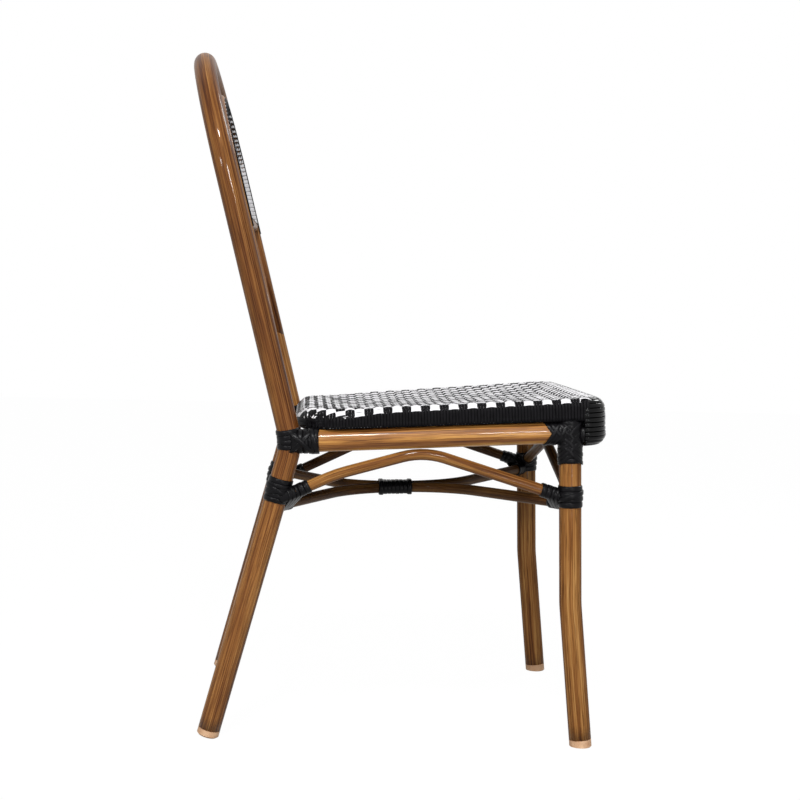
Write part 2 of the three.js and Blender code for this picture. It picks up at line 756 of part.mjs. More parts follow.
for (const [name, side] of Object.entries(sides)) {
  add(`front_leg_${name}`, mainTube(frontLegPath(side)), caneFinish());
  add(`side_rail_${name}`, coped(mainTube(sideRailPath(side)), legPaths()), caneFinish());
  add(`side_arch_${name}`, coped(braceTube(sideArchPath(name)), legPaths()), caneFinish());
  add(`bow_stretcher_${name}`, coped(braceTube(bowPath(side)), legPaths()), caneFinish());
  add(`front_corner_wrap_${name}`, frontCornerWrap(side), strandFinish());
  add(`front_lower_binding_${name}`, frontLowerCollar(side), strandFinish());
  add(`rear_upper_binding_${name}`, rearUpperCollar(side), strandFinish());
  add(`rear_lower_binding_${name}`, rearLowerCollar(side), strandFinish());
  add(`front_glide_${name}`, frontGlide(side), glideFinish());
  add(`rear_glide_${name}`, rearGlide(side), glideFinish());
}
add('centre_binding', centreBinding(), strandFinish());

// The origin is the bottom centre of the chair's box
chair.updateMatrixWorld(true);
const box = new THREE.Box3().setFromObject(chair, true);
chair.position.y = -(box.min.y + box.max.y) / 2;

export default chair;
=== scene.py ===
import math
import random
import bmesh
import bpy
from mathutils import Matrix, Vector


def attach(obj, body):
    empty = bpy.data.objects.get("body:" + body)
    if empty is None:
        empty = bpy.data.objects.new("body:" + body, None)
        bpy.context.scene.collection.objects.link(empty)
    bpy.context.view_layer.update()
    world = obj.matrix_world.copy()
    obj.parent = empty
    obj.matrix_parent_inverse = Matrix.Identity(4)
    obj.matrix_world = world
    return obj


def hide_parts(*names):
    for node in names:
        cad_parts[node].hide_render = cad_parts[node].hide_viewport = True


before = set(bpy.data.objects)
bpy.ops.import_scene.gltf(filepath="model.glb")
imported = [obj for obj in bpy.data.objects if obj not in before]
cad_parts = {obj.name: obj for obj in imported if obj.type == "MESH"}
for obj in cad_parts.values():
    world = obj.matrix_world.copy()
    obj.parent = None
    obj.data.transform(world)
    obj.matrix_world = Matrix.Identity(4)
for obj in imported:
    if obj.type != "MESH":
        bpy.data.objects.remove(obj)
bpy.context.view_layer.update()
random.seed(11)

# The chair in metres: +Z up, the sitter faces -Y, the left side is +X
sideNames = {"left": 1, "right": -1}

cameraPlace = {
    "position": (-2.2658, 0.1134, 0.5875), "yaw": -0.0583, "pitch": -0.0676, "roll": 0.0261,
    "focalPixels": 1608.7, "imagePixels": 800, "sensor": 36,
}

# Metres of grain within which each tube or strand starts
grainReach = 40


# Paths: lists of points, with straight runs cut short enough to carry the grain

def roundedPath(points, radii, turnStep=math.radians(5), runStep=0.02):
    path = [points[0]]
    for before, corner, after, radius in zip(points, points[1:], points[2:], radii):
        inward = (before - corner).normalized()
        outward = (after - corner).normalized()
        turn = math.pi - inward.angle(outward)
        start = corner + inward * radius * math.tan(turn / 2)
        centre = corner + (inward + outward).normalized() * radius / math.cos(turn / 2)
        axis = outward.cross(inward).normalized()
        addRun(path, start, runStep)
        count = max(2, math.ceil(turn / turnStep))
        for i in range(1, count + 1):
            path.append(centre + Matrix.Rotation(turn * i / count, 3, axis) @ (start - centre))
    addRun(path, points[-1], runStep)
    return path


def addRun(path, end, runStep):
    start = path[-1]
    count = max(1, math.ceil((end - start).length / runStep))
    for i in range(1, count + 1):
        path.append(start.lerp(end, i / count))


def tangents(path, closed=False):
    found = []
    for i in range(len(path)):
        before = path[i - 1] if i or closed else path[0]
        after = path[(i + 1) % len(path)] if closed or i + 1 < len(path) else path[i]
        found.append((after - before).normalized())
    return found


def placed(name, data):
    thing = bpy.data.objects.new(name, data)
    bpy.context.scene.collection.objects.link(thing)
    return thing


def finished(name, bm, material, node=None):
    mesh = bpy.data.meshes.new(name)
    for face in bm.faces:
        face.smooth = True
    bm.to_mesh(mesh)
    bm.free()
    mesh.materials.append(material)
    piece = placed(name, mesh)
    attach(piece, "root")
    if node:
        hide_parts(*([node] if isinstance(node, str) else node))
    return piece


def grainLayer(bm):
    # Each vertex's place on its tube or strand as if that were straight, so that the grain follows the bends
    layers = bm.verts.layers.float_vector
    return layers.get("straightened") or layers.new("straightened")


def sweepTube(bm, path, radius, upHint, sides=28):
    # A round tube: a circle drawn out along its path
    layer = grainLayer(bm)
    shift = random.uniform(0, grainReach)
    run = 0
    ring = []
    edges = []
    for i, (point, way) in enumerate(zip(path, tangents(path))):
        sideways = way.cross(Vector(upHint)).normalized()
        lift = sideways.cross(way)
        place = Matrix((sideways, lift, way)).transposed().to_4x4()
        place.translation = point
        if i:
            run += (point - path[i - 1]).length
            drawn = bmesh.ops.extrude_edge_only(bm, edges=edges)["geom"]
            ring = [v for v in drawn if isinstance(v, bmesh.types.BMVert)]
            edges = [e for e in drawn if isinstance(e, bmesh.types.BMEdge)]
            bmesh.ops.transform(bm, matrix=place @ lastPlace.inverted(), verts=ring)
        else:
            made = bmesh.ops.create_circle(bm, cap_ends=True, radius=radius, segments=sides, matrix=place)
            ring = made["verts"]
            edges = list({e for v in ring for e in v.link_edges})
        back = place.inverted()
        for vert in ring:
            local = back @ vert.co
            vert[layer] = Vector((local.x, local.y, run + shift))
        lastPlace = place
    bmesh.ops.contextual_create(bm, geom=edges)
    bmesh.ops.recalc_face_normals(bm, faces=bm.faces)


# A strand's section: shares of its half width and of its crown, low at both edges
strandSection = ((-1, -0.5), (-0.62, 0), (0.62, 0), (1, -0.5))


def layStrand(bm, stations, halfWidth, crown=0.0007, closed=False):
    # A flat strand along stations of (point, normal): a strip of a grid
    layer = grainLayer(bm)
    ways = tangents([point for point, normal in stations], closed)
    if closed:
        stations = stations + stations[:1]
        ways = ways + ways[:1]
    shift = random.uniform(0, grainReach)
    wide = len(strandSection)
    grid = bmesh.ops.create_grid(bm, x_segments=wide - 1, y_segments=len(stations) - 1, size=1)["verts"]
    run = 0
    for i, ((point, normal), way) in enumerate(zip(stations, ways)):
        if i:
            run += (point - stations[i - 1][0]).length
        across = way.cross(normal).normalized()
        lift = across.cross(way)
        for k, (share, drop) in enumerate(strandSection):
            vert = grid[i * wide + k]
            vert.co = point + across * (halfWidth * share) + lift * (crown * drop)
            vert[layer] = Vector((halfWidth * share, 0, run + shift))
    if closed:
        bmesh.ops.remove_doubles(bm, verts=grid[:wide] + grid[-wide:], dist=1e-6)


def giveWall(piece, thickness):
    wall = piece.modifiers.new("wall", "SOLIDIFY")
    wall.thickness = thickness
    wall.offset = -1


# Materials

class Wire:
    # A shader socket that takes Python arithmetic
    def __init__(self, finish, socket):
        self.finish = finish
        self.socket = socket

    def math(self, operation, first, second):
        return self.finish.node("ShaderNodeMath", {"operation": operation}, {0: first, 1: second})

    def __add__(self, other):
        return self.math("ADD", self, other)

    def __radd__(self, other):
        return self.math("ADD", other, self)

    def __sub__(self, other):
        return self.math("SUBTRACT", self, other)

    def __rsub__(self, other):
        return self.math("SUBTRACT", other, self)

    def __mul__(self, other):
        return self.math("MULTIPLY", self, other)

    def __rmul__(self, other):
        return self.math("MULTIPLY", other, self)


class Finish:
    # The node tree of a material, or of the world, around its first shader
    def __init__(self, name, constants, kind=bpy.data.materials, shader="Principled BSDF"):
        self.owner = kind.new(name)
        self.owner.use_nodes = True
        self.tree = self.owner.node_tree
        self.shader = self.tree.nodes[shader]
        for socket, value in constants.items():
            self.shader.inputs[socket].default_value = value

    def node(self, kind, settings=None, inputs=None, output=0):
        made = self.tree.nodes.new(kind)
        for name, value in (settings or {}).items():
            if name == "stops":
                for i, (place, colour) in enumerate(value):
                    stop = made.color_ramp.elements[i] if i < 2 else made.color_ramp.elements.new(place)
                    stop.position = place
                    stop.color = (*colour, 1)
            else:
                setattr(made, name, value)
        for name, value in (inputs or {}).items():
            if isinstance(value, Wire):
                self.tree.links.new(value.socket, made.inputs[name])
            else:
                made.inputs[name].default_value = value
        return Wire(self, made.outputs[output])

    def feed(self, socket, wire):
        self.tree.links.new(wire.socket, self.shader.inputs[socket])

    def straightened(self, scale):
        place = self.node("ShaderNodeAttribute", {"attribute_name": "straightened"}, output="Vector")
        return self.node("ShaderNodeMapping", {}, {"Vector": place, "Scale": scale})

    def noise(self, place, scale=1, detail=3, roughness=0.55):
        values = {"Vector": place, "Scale": scale, "Detail": detail, "Roughness": roughness}
        return self.node("ShaderNodeTexNoise", {}, values)

    def ramp(self, factor, stops):
        return self.node("ShaderNodeValToRGB", {"stops": stops}, {"Fac": factor})

    def mixed(self, factor, first, second):
        return self.node("ShaderNodeMix", {"data_type": "RGBA"}, {0: factor, 6: first, 7: second}, output=2)

    def bump(self, height, strength, distance):
        values = {"Height": height, "Strength": strength, "Distance": distance}
        self.feed("Normal", self.node("ShaderNodeBump", {}, values))


def linear(red, green, blue, tone=1.0):
    # A screen colour of 0 to 255, made lighter or darker by its tone, as linear light
    shades = [v * tone / 255 for v in (red, green, blue)]
    return tuple(v / 12.92 if v < 11 / 255 else ((v + 0.055) / 1.055) ** 2.4 for v in shades)


def caneFinish(name, tone, tintAndShade=None, gloss=0.065, sheen=0.02):
    # Printed cane: long fibres in brown and tan, dark hairlines, under a clear gloss coat
    coat = {"Coat Weight": gloss, "Coat Roughness": 0.07, "Coat IOR": 1.7}
    cane = Finish(name, {**coat, "Specular IOR Level": sheen})
    fibres = cane.noise(cane.straightened((820, 820, 7)), detail=4, roughness=0.62)
    bands = cane.noise(cane.straightened((190, 190, 2.5)), detail=2)
    tones = cane.noise(cane.straightened((60, 60, 9)), detail=2)
    hairs = cane.noise(cane.straightened((1000, 1000, 24)), detail=2)
    body = cane.ramp(fibres * 0.62 + bands * 0.56 + tones * 0.22 - 0.2, [
        (0.30, linear(70, 36, 14, tone)),
        (0.43, linear(118, 72, 34, tone)),
        (0.54, linear(156, 107, 56, tone)),
        (0.72, linear(206, 158, 96, tone)),
    ])
    dark = cane.ramp(hairs, [(0.36, (1, 1, 1)), (0.45, (0, 0, 0))])
    colour = cane.mixed(dark * 0.6, body, (*linear(62, 32, 12, tone), 1))
    if tintAndShade:
        # A tint at each height in metres, multiplied into the colour; on the hoop it is painted shade and on
        # the rail painted light
        place = cane.node("ShaderNodeTexCoord", {}, output="Object")
        height = cane.node("ShaderNodeSeparateXYZ", {}, {"Vector": place}, output="Z")
        both = {"Vector": colour, "Vector_001": cane.ramp(height, tintAndShade)}
        colour = cane.node("ShaderNodeVectorMath", {"operation": "MULTIPLY"}, both)
    cane.feed("Base Color", colour)
    cane.feed("Roughness", 0.3 + fibres * 0.2)
    cane.bump(fibres + hairs * 0.5, 0.12, 0.0004)
    return cane.owner


# A dark and a light shade, and how fine the lines and the wear between the shades are
strandLooks = {
    "black": ((8, 7, 9), (22, 21, 24), (1400, 1400, 25), (220, 220, 60)),
    "white": ((222, 221, 223), (242, 241, 244), (1200, 1200, 22), (150, 150, 30)),
}


def strandFinish(name, kind, tone, roughness, spread, shine):
    # Flat extruded strand with fine lengthwise lines
    dark, light, lineScale, wearScale = strandLooks[kind]
    strand = Finish(name, {"Specular IOR Level": shine})
    lines = strand.noise(strand.straightened(lineScale), detail=2)
    wear = strand.noise(strand.straightened(wearScale), detail=3)
    strand.feed("Base Color", strand.ramp(wear, [(0.3, linear(*dark, tone)), (0.7, linear(*light, tone))]))
    strand.feed("Roughness", roughness + wear * spread)
    strand.bump(lines, 0.25, 0.0003)
    return strand.owner


def glideFinish():
    glide = Finish("tanGlide", {"Specular IOR Level": 0.4})
    place = glide.node("ShaderNodeTexCoord", {}, output="Object")
    grit = glide.noise(place, scale=420, detail=3)
    scuff = glide.noise(place, scale=60, detail=4)
    glide.feed("Base Color", glide.ramp(scuff, [(0.32, linear(196, 150, 112)), (0.7, linear(224, 186, 150))]))
    glide.feed("Roughness", 0.45 + grit * 0.2)
    glide.bump(grit, 0.2, 0.0003)
    return glide.owner


# Each tint is a list of (height, red, green and blue); the hoop's is painted shade, darker towards its foot
# and its arch
hoopHeightShade = [
    (0.06, (0.82, 0.73, 0.64)), (0.2, (1, 0.93, 0.84)), (0.33, (0.96, 0.9, 0.8)), (0.5, (0.68, 0.61, 0.52)),
]
# The rail's tint and its lighter tone are painted light: a yellower, brighter rail, as where the lamps fall
# on its top
railLitTint = [(0, (1, 1.03, 0.9)), (1, (1, 1.03, 0.9))]
archTint = [(0, (1, 0.97, 0.86)), (1, (1, 0.97, 0.86))]
caneMaterial = caneFinish("cane", 0.98)
hoopMaterial = caneFinish("caneHoop", 0.96, hoopHeightShade, 0.17)
litRailMaterial = caneFinish("caneLitRail", 1.13, railLitTint, 0.12, 0.17)
archMaterial = caneFinish("caneArch", 0.92, archTint, 0.15)
# The braces: a much darker copy of the cane, painted shade under the seat
shadedBraceMaterial = caneFinish("caneShaded", 0.62)
blackMaterial = strandFinish("blackBinding", "black", 0.8, 0.2, 0.24, 0.1)
deckBlackMaterial = strandFinish("blackWeave", "black", 0.85, 0.34, 0.24, 0.06)
apronBlackMaterial = strandFinish("blackApron", "black", 0.3, 0, 0.24, 0.17)
whiteMaterial = strandFinish("whiteStrand", "white", 1, 0.36, 0.2, 0.06)
# The back panel's white: a darker copy of the white strand, painted shade where the panel lies in the hoop's
# shadow
shadedPanelWhiteMaterial = strandFinish("panelWhiteShaded", "white", 0.86, 0.36, 0.2, 0.06)
glideMaterial = glideFinish()
print("materials ready")


# Frame tubes: radii, and the gap left between tubes that are welded

tubes = {"main": 0.0145, "cross": 0.011, "brace": 0.0073, "inner": 0.0075, "seatBar": 0.008}
weldGap = 0.0003

frontLeg = {
    "x": 0.212, "footY": -0.25487, "kneeY": -0.23527, "kneeZ": 0.188, "kneeRadius": 0.16, "topY": -0.22747,
}
rail = {"frontZ": 0.4118, "rearZ": 0.3918, "rearY": 0.13123, "shortOfAxis": 0.006}
hoop = {
    "halfWidth": 0.208, "footX": 0.188, "footY": 0.23343, "bendY": 0.13123, "bendZ": 0.3883,
    "bendRadius": 0.075, "lean": math.radians(14.5), "upright": 0.357, "rise": 0.1635, "archSteps": 72,
}
innerHoop = {
    "inset": 0.052, "topInset": 0.052, "forward": 0.0076, "footForward": 0.007, "footRise": 0.128,
    "bendRise": 0.208, "bendRadius": 0.07, "panelBottom": 0.296,
}
glide = {
    "height": 0.010, "radius": 0.0145, "chamfer": 0.0022, "frontSole": 0.0024, "rearSoleRise": 0.0026,
    "seamDepth": 0.0008, "seamHeight": 0.0007, "stem": 0.002, "segments": 48,
}


def frontFoot(side):
    return Vector((side * frontLeg["x"], frontLeg["footY"], 0))


def frontKnee(side):
    return Vector((side * frontLeg["x"], frontLeg["kneeY"], frontLeg["kneeZ"]))


def onFrontLeg(side, z):
    top = Vector((side * frontLeg["x"], frontLeg["topY"], rail["frontZ"]))
    return frontKnee(side).lerp(top, (z - frontLeg["kneeZ"]) / (rail["frontZ"] - frontLeg["kneeZ"]))


def hoopBend(side):
    return Vector((side * hoop["halfWidth"], hoop["bendY"], hoop["bendZ"]))


def rearFoot(side):
    return Vector((side * hoop["footX"], hoop["footY"], 0))


def onRearLeg(side, z):
    return rearFoot(side).lerp(hoopBend(side), z / hoop["bendZ"])


def onBack(x, rise, forward=0.0):
    lean = hoop["lean"]
    y = hoop["bendY"] + rise * math.sin(lean) - forward * math.cos(lean)
    z = hoop["bendZ"] + rise * math.cos(lean) + forward * math.sin(lean)
    return Vector((x, y, z))


backUp = (onBack(0, 1) - onBack(0, 0)).normalized()
backForward = (onBack(0, 0, 1) - onBack(0, 0)).normalized()


def onRail(side, y):
    share = (y - frontLeg["topY"]) / (rail["rearY"] - frontLeg["topY"])
    return Vector((side * frontLeg["x"], y, rail["frontZ"] + (rail["rearZ"] - rail["frontZ"]) * share))


def ellipseArch(halfWidth, start, rise, forward, steps):
    points = []
    for i in range(1, steps):
        angle = math.pi * i / steps
        points.append(onBack(-halfWidth * math.cos(angle), start + rise * math.sin(angle), forward))
    return points


def mirroredPath(path):
    return [Vector((-p.x, p.y, p.z)) for p in reversed(path)]


def hoopPath():
    foot = rearFoot(-1)
    start = foot + (hoopBend(-1) - foot).normalized() * (glide["height"] + glide["rearSoleRise"])
    springing = onBack(-hoop["halfWidth"], hoop["upright"])
    rise = roundedPath([start, hoopBend(-1), springing], [hoop["bendRadius"]])
    arch = ellipseArch(hoop["halfWidth"], hoop["upright"], hoop["rise"], 0, hoop["archSteps"])
    return rise + arch + mirroredPath(rise)


innerHalf = hoop["halfWidth"] - innerHoop["inset"]
innerRise = hoop["rise"] - innerHoop["topInset"]


def innerHoopPath():
    foot = onBack(-hoop["halfWidth"], innerHoop["footRise"], innerHoop["footForward"])
    bend = onBack(-innerHalf, innerHoop["bendRise"], innerHoop["forward"])
    springing = onBack(-innerHalf, hoop["upright"], innerHoop["forward"])
    rise = roundedPath([foot, bend, springing], [innerHoop["bendRadius"]])
    arch = ellipseArch(innerHalf, hoop["upright"], innerRise, innerHoop["forward"], hoop["archSteps"])
    return rise + arch + mirroredPath(rise)


def tubePiece(name, path, radius, hint, material=caneMaterial, sides=20):
    bm = bmesh.new()
    sweepTube(bm, path, radius, hint, sides)
    finished(f"{name}_tube", bm, material, name)


def frontLegPath(side):
    foot = frontFoot(side)
    start = foot + (frontKnee(side) - foot).normalized() * glide["height"]
    top = onFrontLeg(side, rail["frontZ"] + tubes["main"] - weldGap)
    return roundedPath([start, frontKnee(side), top], [frontLeg["kneeRadius"]])


tubePiece("back_hoop", hoopPath(), tubes["main"], backForward, hoopMaterial, 36)
tubePiece("inner_back_hoop", innerHoopPath(), tubes["inner"], backForward, hoopMaterial)
barEnd = innerHalf - tubes["inner"]
barPath = [onBack(barEnd * (i / 10 - 1), innerHoop["panelBottom"], innerHoop["forward"]) for i in range(21)]
tubePiece("panel_bottom_bar", barPath, tubes["inner"], backForward, hoopMaterial)
for sideName, side in sideNames.items():
    tubePiece(f"front_leg_{sideName}", frontLegPath(side), tubes["main"], (1, 0, 0), sides=36)
    ends = [onRail(side, frontLeg["topY"]), onRail(side, rail["rearY"] - rail["shortOfAxis"])]
    tubePiece(f"side_rail_{sideName}", roundedPath(ends, []), tubes["main"], (0, 0, 1), litRailMaterial, 36)
print("hoops, legs and rails made")


# Braces under the seat

sideArch = {
    "frontZ": 0.3245, "apexY": -0.03887, "apexRadius": 0.1, "kneeY": 0.07213, "kneeRadius": 0.18,
    "rearZ": {"right": 0.316, "left": 0.290}, "kneeRise": {"right": 0.0075, "left": 0},
}
crossArch = {"frontZ": 0.330, "rearZ": 0.324, "apexRadius": 0.11}
bow = {"frontZ": 0.3185, "rearZ": 0.307, "middleY": -0.01487, "middleZ": 0.310, "aimPast": 0.095}


def outOfArc(radius, turn):
    # How far the vertex of a rounded corner lies out from its arc
    return radius * (1 / math.cos(turn / 2) - 1)


def sideArchPath(sideName):
    side = sideNames[sideName]
    x = side * frontLeg["x"]
    front = Vector((x, onFrontLeg(side, sideArch["frontZ"]).y, sideArch["frontZ"]))
    rearZ = sideArch["rearZ"][sideName]
    rear = Vector((x, onRearLeg(side, rearZ).y, rearZ))
    apexZ = onRail(side, sideArch["apexY"]).z - tubes["main"] - weldGap - tubes["brace"]
    kneeRise = sideArch["kneeRise"][sideName]

    def kneePoint(apex):
        share = (rear.y - sideArch["kneeY"]) / (rear.y - sideArch["apexY"])
        return rear.lerp(apex, share) + Vector((0, 0, kneeRise))

    apex = Vector((x, sideArch["apexY"], apexZ))
    behind = kneePoint(apex) if kneeRise else rear
    apex.z += outOfArc(sideArch["apexRadius"], math.pi - (front - apex).angle(behind - apex))
    if kneeRise:
        radii = [sideArch["apexRadius"], sideArch["kneeRadius"]]
        return roundedPath([front, apex, kneePoint(apex), rear], radii)
    return roundedPath([front, apex, rear], [sideArch["apexRadius"]])


def crossRailEnd(side, front):
    if front:
        return onFrontLeg(side, rail["frontZ"] - tubes["main"] + weldGap)
    turn = math.pi - (rearFoot(side) - hoopBend(side)).angle(backUp)
    return hoopBend(side) + Vector((0, outOfArc(hoop["bendRadius"], turn), 0))


def crossArchPath(onLeg, endZ, railTop):
    start, end = onLeg(-1, endZ), onLeg(1, endZ)
    crown = Vector((0, railTop.y, railTop.z - tubes["cross"] - weldGap - tubes["brace"]))
    crown.z += outOfArc(crossArch["apexRadius"], math.pi - (start - crown).angle(end - crown))
    return roundedPath([start, crown, end], [crossArch["apexRadius"]])


def bowPath(side):
    front, rear = onFrontLeg(side, bow["frontZ"]), onRearLeg(side, bow["rearZ"])
    vertex = Vector((-side * bow["aimPast"], bow["middleY"], bow["middleZ"]))
    toFront, toRear = (front - vertex).normalized(), (rear - vertex).normalized()
    halfTurn = (math.pi - toFront.angle(toRear)) / 2
    bisector = (toFront + toRear).normalized()
    past = bow["aimPast"] + tubes["brace"] + weldGap / 2
    return roundedPath([front, vertex, rear], [past / (abs(bisector.x) / math.cos(halfTurn) - 1)])


def insideTube(path, gap=0.008, stub=0.45):
    # The path without the stretch at each end that the thicker tube's wall hides
    start, end = path[0], path[-1]
    kept = [p for p in path if (p - start).length > gap and (p - end).length > gap]
    return [start.lerp(kept[0], stub), *kept, end.lerp(kept[-1], stub)]


def bracePiece(name, path, hint, material=shadedBraceMaterial):
    tubePiece(name, insideTube(path), tubes["brace"], hint, material)


frontArchPath = crossArchPath(onFrontLeg, crossArch["frontZ"], crossRailEnd(1, True))
rearArchPath = crossArchPath(onRearLeg, crossArch["rearZ"], crossRailEnd(1, False))
for sideName, side in sideNames.items():
    # The near side arch keeps the lighter cane; the far one, like the other braces, gets the painted shade
    nearLitFarShaded = archMaterial if side < 0 else shadedBraceMaterial
    bracePiece(f"side_arch_{sideName}", sideArchPath(sideName), (1, 0, 0), nearLitFarShaded)
    bracePiece(f"bow_stretcher_{sideName}", bowPath(side), (0, 0, 1))
bracePiece("front_arch", frontArchPath, (0, 1, 0))
bracePiece("rear_arch", rearArchPath, (0, 1, 0))
for name, front in (("front_cross_rail", True), ("rear_cross_rail", False)):
    ends = [crossRailEnd(-1, front), crossRailEnd(1, front)]
    tubePiece(name, insideTube(roundedPath(ends, [])), tubes["cross"], (0, 0, 1), sides=24)
print("braces made")


# Glides: a chamfered plug under each leg with a shadow line where the tube ends

def glidePiece(name, foot, up, sole):
    bm = bmesh.new()
    radius, height = glide["radius"], glide["height"]
    seam, neck = height - glide["seamHeight"], radius - glide["seamDepth"]
    profile = [
        (0, -sole), (radius - glide["chamfer"], -sole), (radius, glide["chamfer"] - sole), (radius, seam),
        (neck, seam), (neck, height + glide["stem"]), (0, height + glide["stem"]),
    ]
    verts = [bm.verts.new((r, 0, z)) for r, z in profile]
    edges = [bm.edges.new(pair) for pair in zip(verts, verts[1:])]
    bmesh.ops.spin(bm, geom=verts + edges, cent=(0, 0, 0), axis=(0, 0, 1), angle=math.tau,
                   steps=glide["segments"], use_merge=True)
    bmesh.ops.remove_doubles(bm, verts=bm.verts, dist=1e-6)
    turn = Vector((0, 0, 1)).rotation_difference(up).to_matrix().to_4x4()
    bmesh.ops.transform(bm, matrix=Matrix.Translation(foot) @ turn, verts=bm.verts)
    # The sole is cut off level with the floor
    whole = bm.verts[:] + bm.edges[:] + bm.faces[:]
    cut = bmesh.ops.bisect_plane(bm, geom=whole, plane_co=(0, 0, 0), plane_no=(0, 0, -1), clear_outer=True)
    rim = [e for e in cut["geom_cut"] if isinstance(e, bmesh.types.BMEdge)]
    bmesh.ops.contextual_create(bm, geom=rim)
    bmesh.ops.recalc_face_normals(bm, faces=bm.faces)
    piece = finished(f"{name}_plug", bm, glideMaterial, name)
    for polygon in piece.data.polygons:
        polygon.use_smooth = len(polygon.vertices) < 5
    piece.data.set_sharp_from_angle(angle=math.radians(30))


for sideName, side in sideNames.items():
    up = (frontKnee(side) - frontFoot(side)).normalized()
    glidePiece(f"front_glide_{sideName}", frontFoot(side), up, glide["frontSole"])
    up = (hoopBend(side) - rearFoot(side)).normalized()
    glidePiece(f"rear_glide_{sideName}", rearFoot(side) + up * glide["rearSoleRise"], up, 0)
print("glides made")


# Seat deck: x across, y from the front legs' axis back, z up from the top of the side rails

deckTilt = math.atan2(rail["frontZ"] - rail["rearZ"], rail["rearY"] - frontLeg["topY"])
deckUp = Vector((0, math.sin(deckTilt), math.cos(deckTilt)))
deckOrigin = Vector((0, frontLeg["topY"], rail["frontZ"])) + tubes["main"] * deckUp
deck = Matrix.Translation(deckOrigin) @ Matrix.Rotation(-deckTilt, 4, "X")

seat = {
    # The sheet's outline and the rounding of its edges
    "top": 0.0278, "halfWidth": 0.2258, "front": -0.0483, "rear": 0.3533, "edge": 0.011,
    "frontCorner": 0.0308, "rearCorner": 0.0638,
    # The check, the strands in a cell, and how far the columns spread out over the sides
    "cell": 0.01206, "columns": 18, "rows": (-2, 28), "whitePerCell": 2, "blackPerCell": 3, "apronPerCell": 2,
    "gap": 0.00005, "whiteGap": 0.00002, "wave": 0.00075, "uneven": 0.0007, "wall": 0.0008,
    "frontShift": -0.002, "rearShift": 0.0035,
    # The frame's bars, and how high strands lie on the side bands and round the front corners
    "frontBarY": -0.0345, "rearBarY": 0.3395, "barZ": 0.0113, "apronBarZ": -0.0182, "arcSteps": 5,
    "hang": 0.0006, "bandSteps": (0.35, 0.7, 1), "bandLift": 0.0003, "cornerLift": 0.0006,
    # The hidden ends: black under the side bands, white at the front corners and under the rear corners
    "bandTuck": (0.004, 0.0002, 0.3), "frontTuck": (0, -0.006, -0.0032), "frontStart": 0.0004,
    "warpEndX": 0.1985, "tuckTurn": math.radians(58), "rearTuck": (0.0025, 0.004),
    # What stays free of black strands under the apron, in metres, and under the rear edge, in strands
    "apronSpare": 0.003, "rearSpare": 2,
}
# The sections over the front and rear edges: along the deck from the flat, down a wall and round a bar
frontEdge = {
    "end": seat["front"], "way": -1, "edge": 0.0145, "barZ": seat["apronBarZ"], "bar": 0.0145,
    "corner": seat["frontCorner"], "cornerTurn": math.radians(90), "cornerSteps": 8, "cornerWoven": False,
    "crown": 0.0024,
}
rearEdge = {
    "end": seat["rear"], "way": 1, "edge": seat["edge"], "barZ": seat["barZ"],
    "bar": seat["rear"] - seat["rearBarY"], "corner": seat["rearCorner"], "cornerTurn": math.radians(62),
    "cornerSteps": 5, "cornerWoven": True, "crown": 0.0007,
}
flatHalf = seat["halfWidth"] - seat["edge"]
flatFront = frontEdge["end"] + frontEdge["edge"]
flatRear = rearEdge["end"] - rearEdge["edge"]
lane = flatHalf / seat["columns"]


def laneAt(y):
    # Width of a column: the strands spread a little, out over the edge, towards the rear
    share = (y - seat["front"]) / (seat["rear"] - seat["front"])
    return lane + (seat["frontShift"] + (seat["rearShift"] - seat["frontShift"]) * share) / seat["columns"]


def edgeInset(x, y):
    # How far inside the seat's outline a place on the deck is
    x = abs(x)
    cornerX, cornerY = seat["halfWidth"] - seat["rearCorner"], seat["rear"] - seat["rearCorner"]
    if x > cornerX and y > cornerY:
        return seat["rearCorner"] - math.hypot(x - cornerX, y - cornerY)
    return min(seat["halfWidth"] - x, seat["rear"] - y)


def edgePlace(x, y):
    # The woven surface over a place on the deck: point and normal, rounded at the outline
    inset = max(edgeInset(x, y), 0)
    if inset >= seat["edge"]:
        return Vector((x, y, seat["top"])), Vector((0, 0, 1))
    lean = math.asin(1 - inset / seat["edge"])
    step = 1e-5
    across = edgeInset(x - step, y) - edgeInset(x + step, y)
    along = edgeInset(x, y - step) - edgeInset(x, y + step)
    out = Vector((across, along, 0)).normalized() * math.sin(lean)
    point = Vector((x, y, seat["top"] - seat["edge"] * (1 - math.cos(lean))))
    return point, Vector((out.x, out.y, math.cos(lean)))


def cornerReach(corner, inset, past):
    # From a rounded corner's centre out to the contour that lies inset from the outline
    reach = (corner - inset) ** 2 - past ** 2
    return math.sqrt(reach) if reach > 0 else None


def widthAt(y, inset):
    # Half the deck's width at y, on the contour that lies inset from the outline
    rearY, frontY = seat["rear"] - seat["rearCorner"], seat["front"] + seat["frontCorner"]
    if frontY <= y <= rearY:
        return seat["halfWidth"] - inset
    corner, past = (seat["rearCorner"], y - rearY) if y > rearY else (seat["frontCorner"], frontY - y)
    reach = cornerReach(corner, inset, past)
    return None if reach is None else seat["halfWidth"] - corner + reach


def depthAt(x, inset):
    # The deck's rear end at x, on the contour that lies inset from the outline
    past = abs(x) - (seat["halfWidth"] - seat["rearCorner"])
    if past <= 0:
        return seat["rear"] - inset
    reach = cornerReach(seat["rearCorner"], inset, past)
    return None if reach is None else seat["rear"] - seat["rearCorner"] + reach


def whiteOver(column, row):
    return (column + row) % 2 == 1


def blackOver(row):
    return lambda column: not whiteOver(column, row)


def cellRise(column, row):
    # How far this cell's upper strands stand above the others': hand weaving isn't even
    return math.modf(abs(math.sin(column * 12.9898 + row * 78.233)) * 43758.5453)[0] * seat["uneven"]


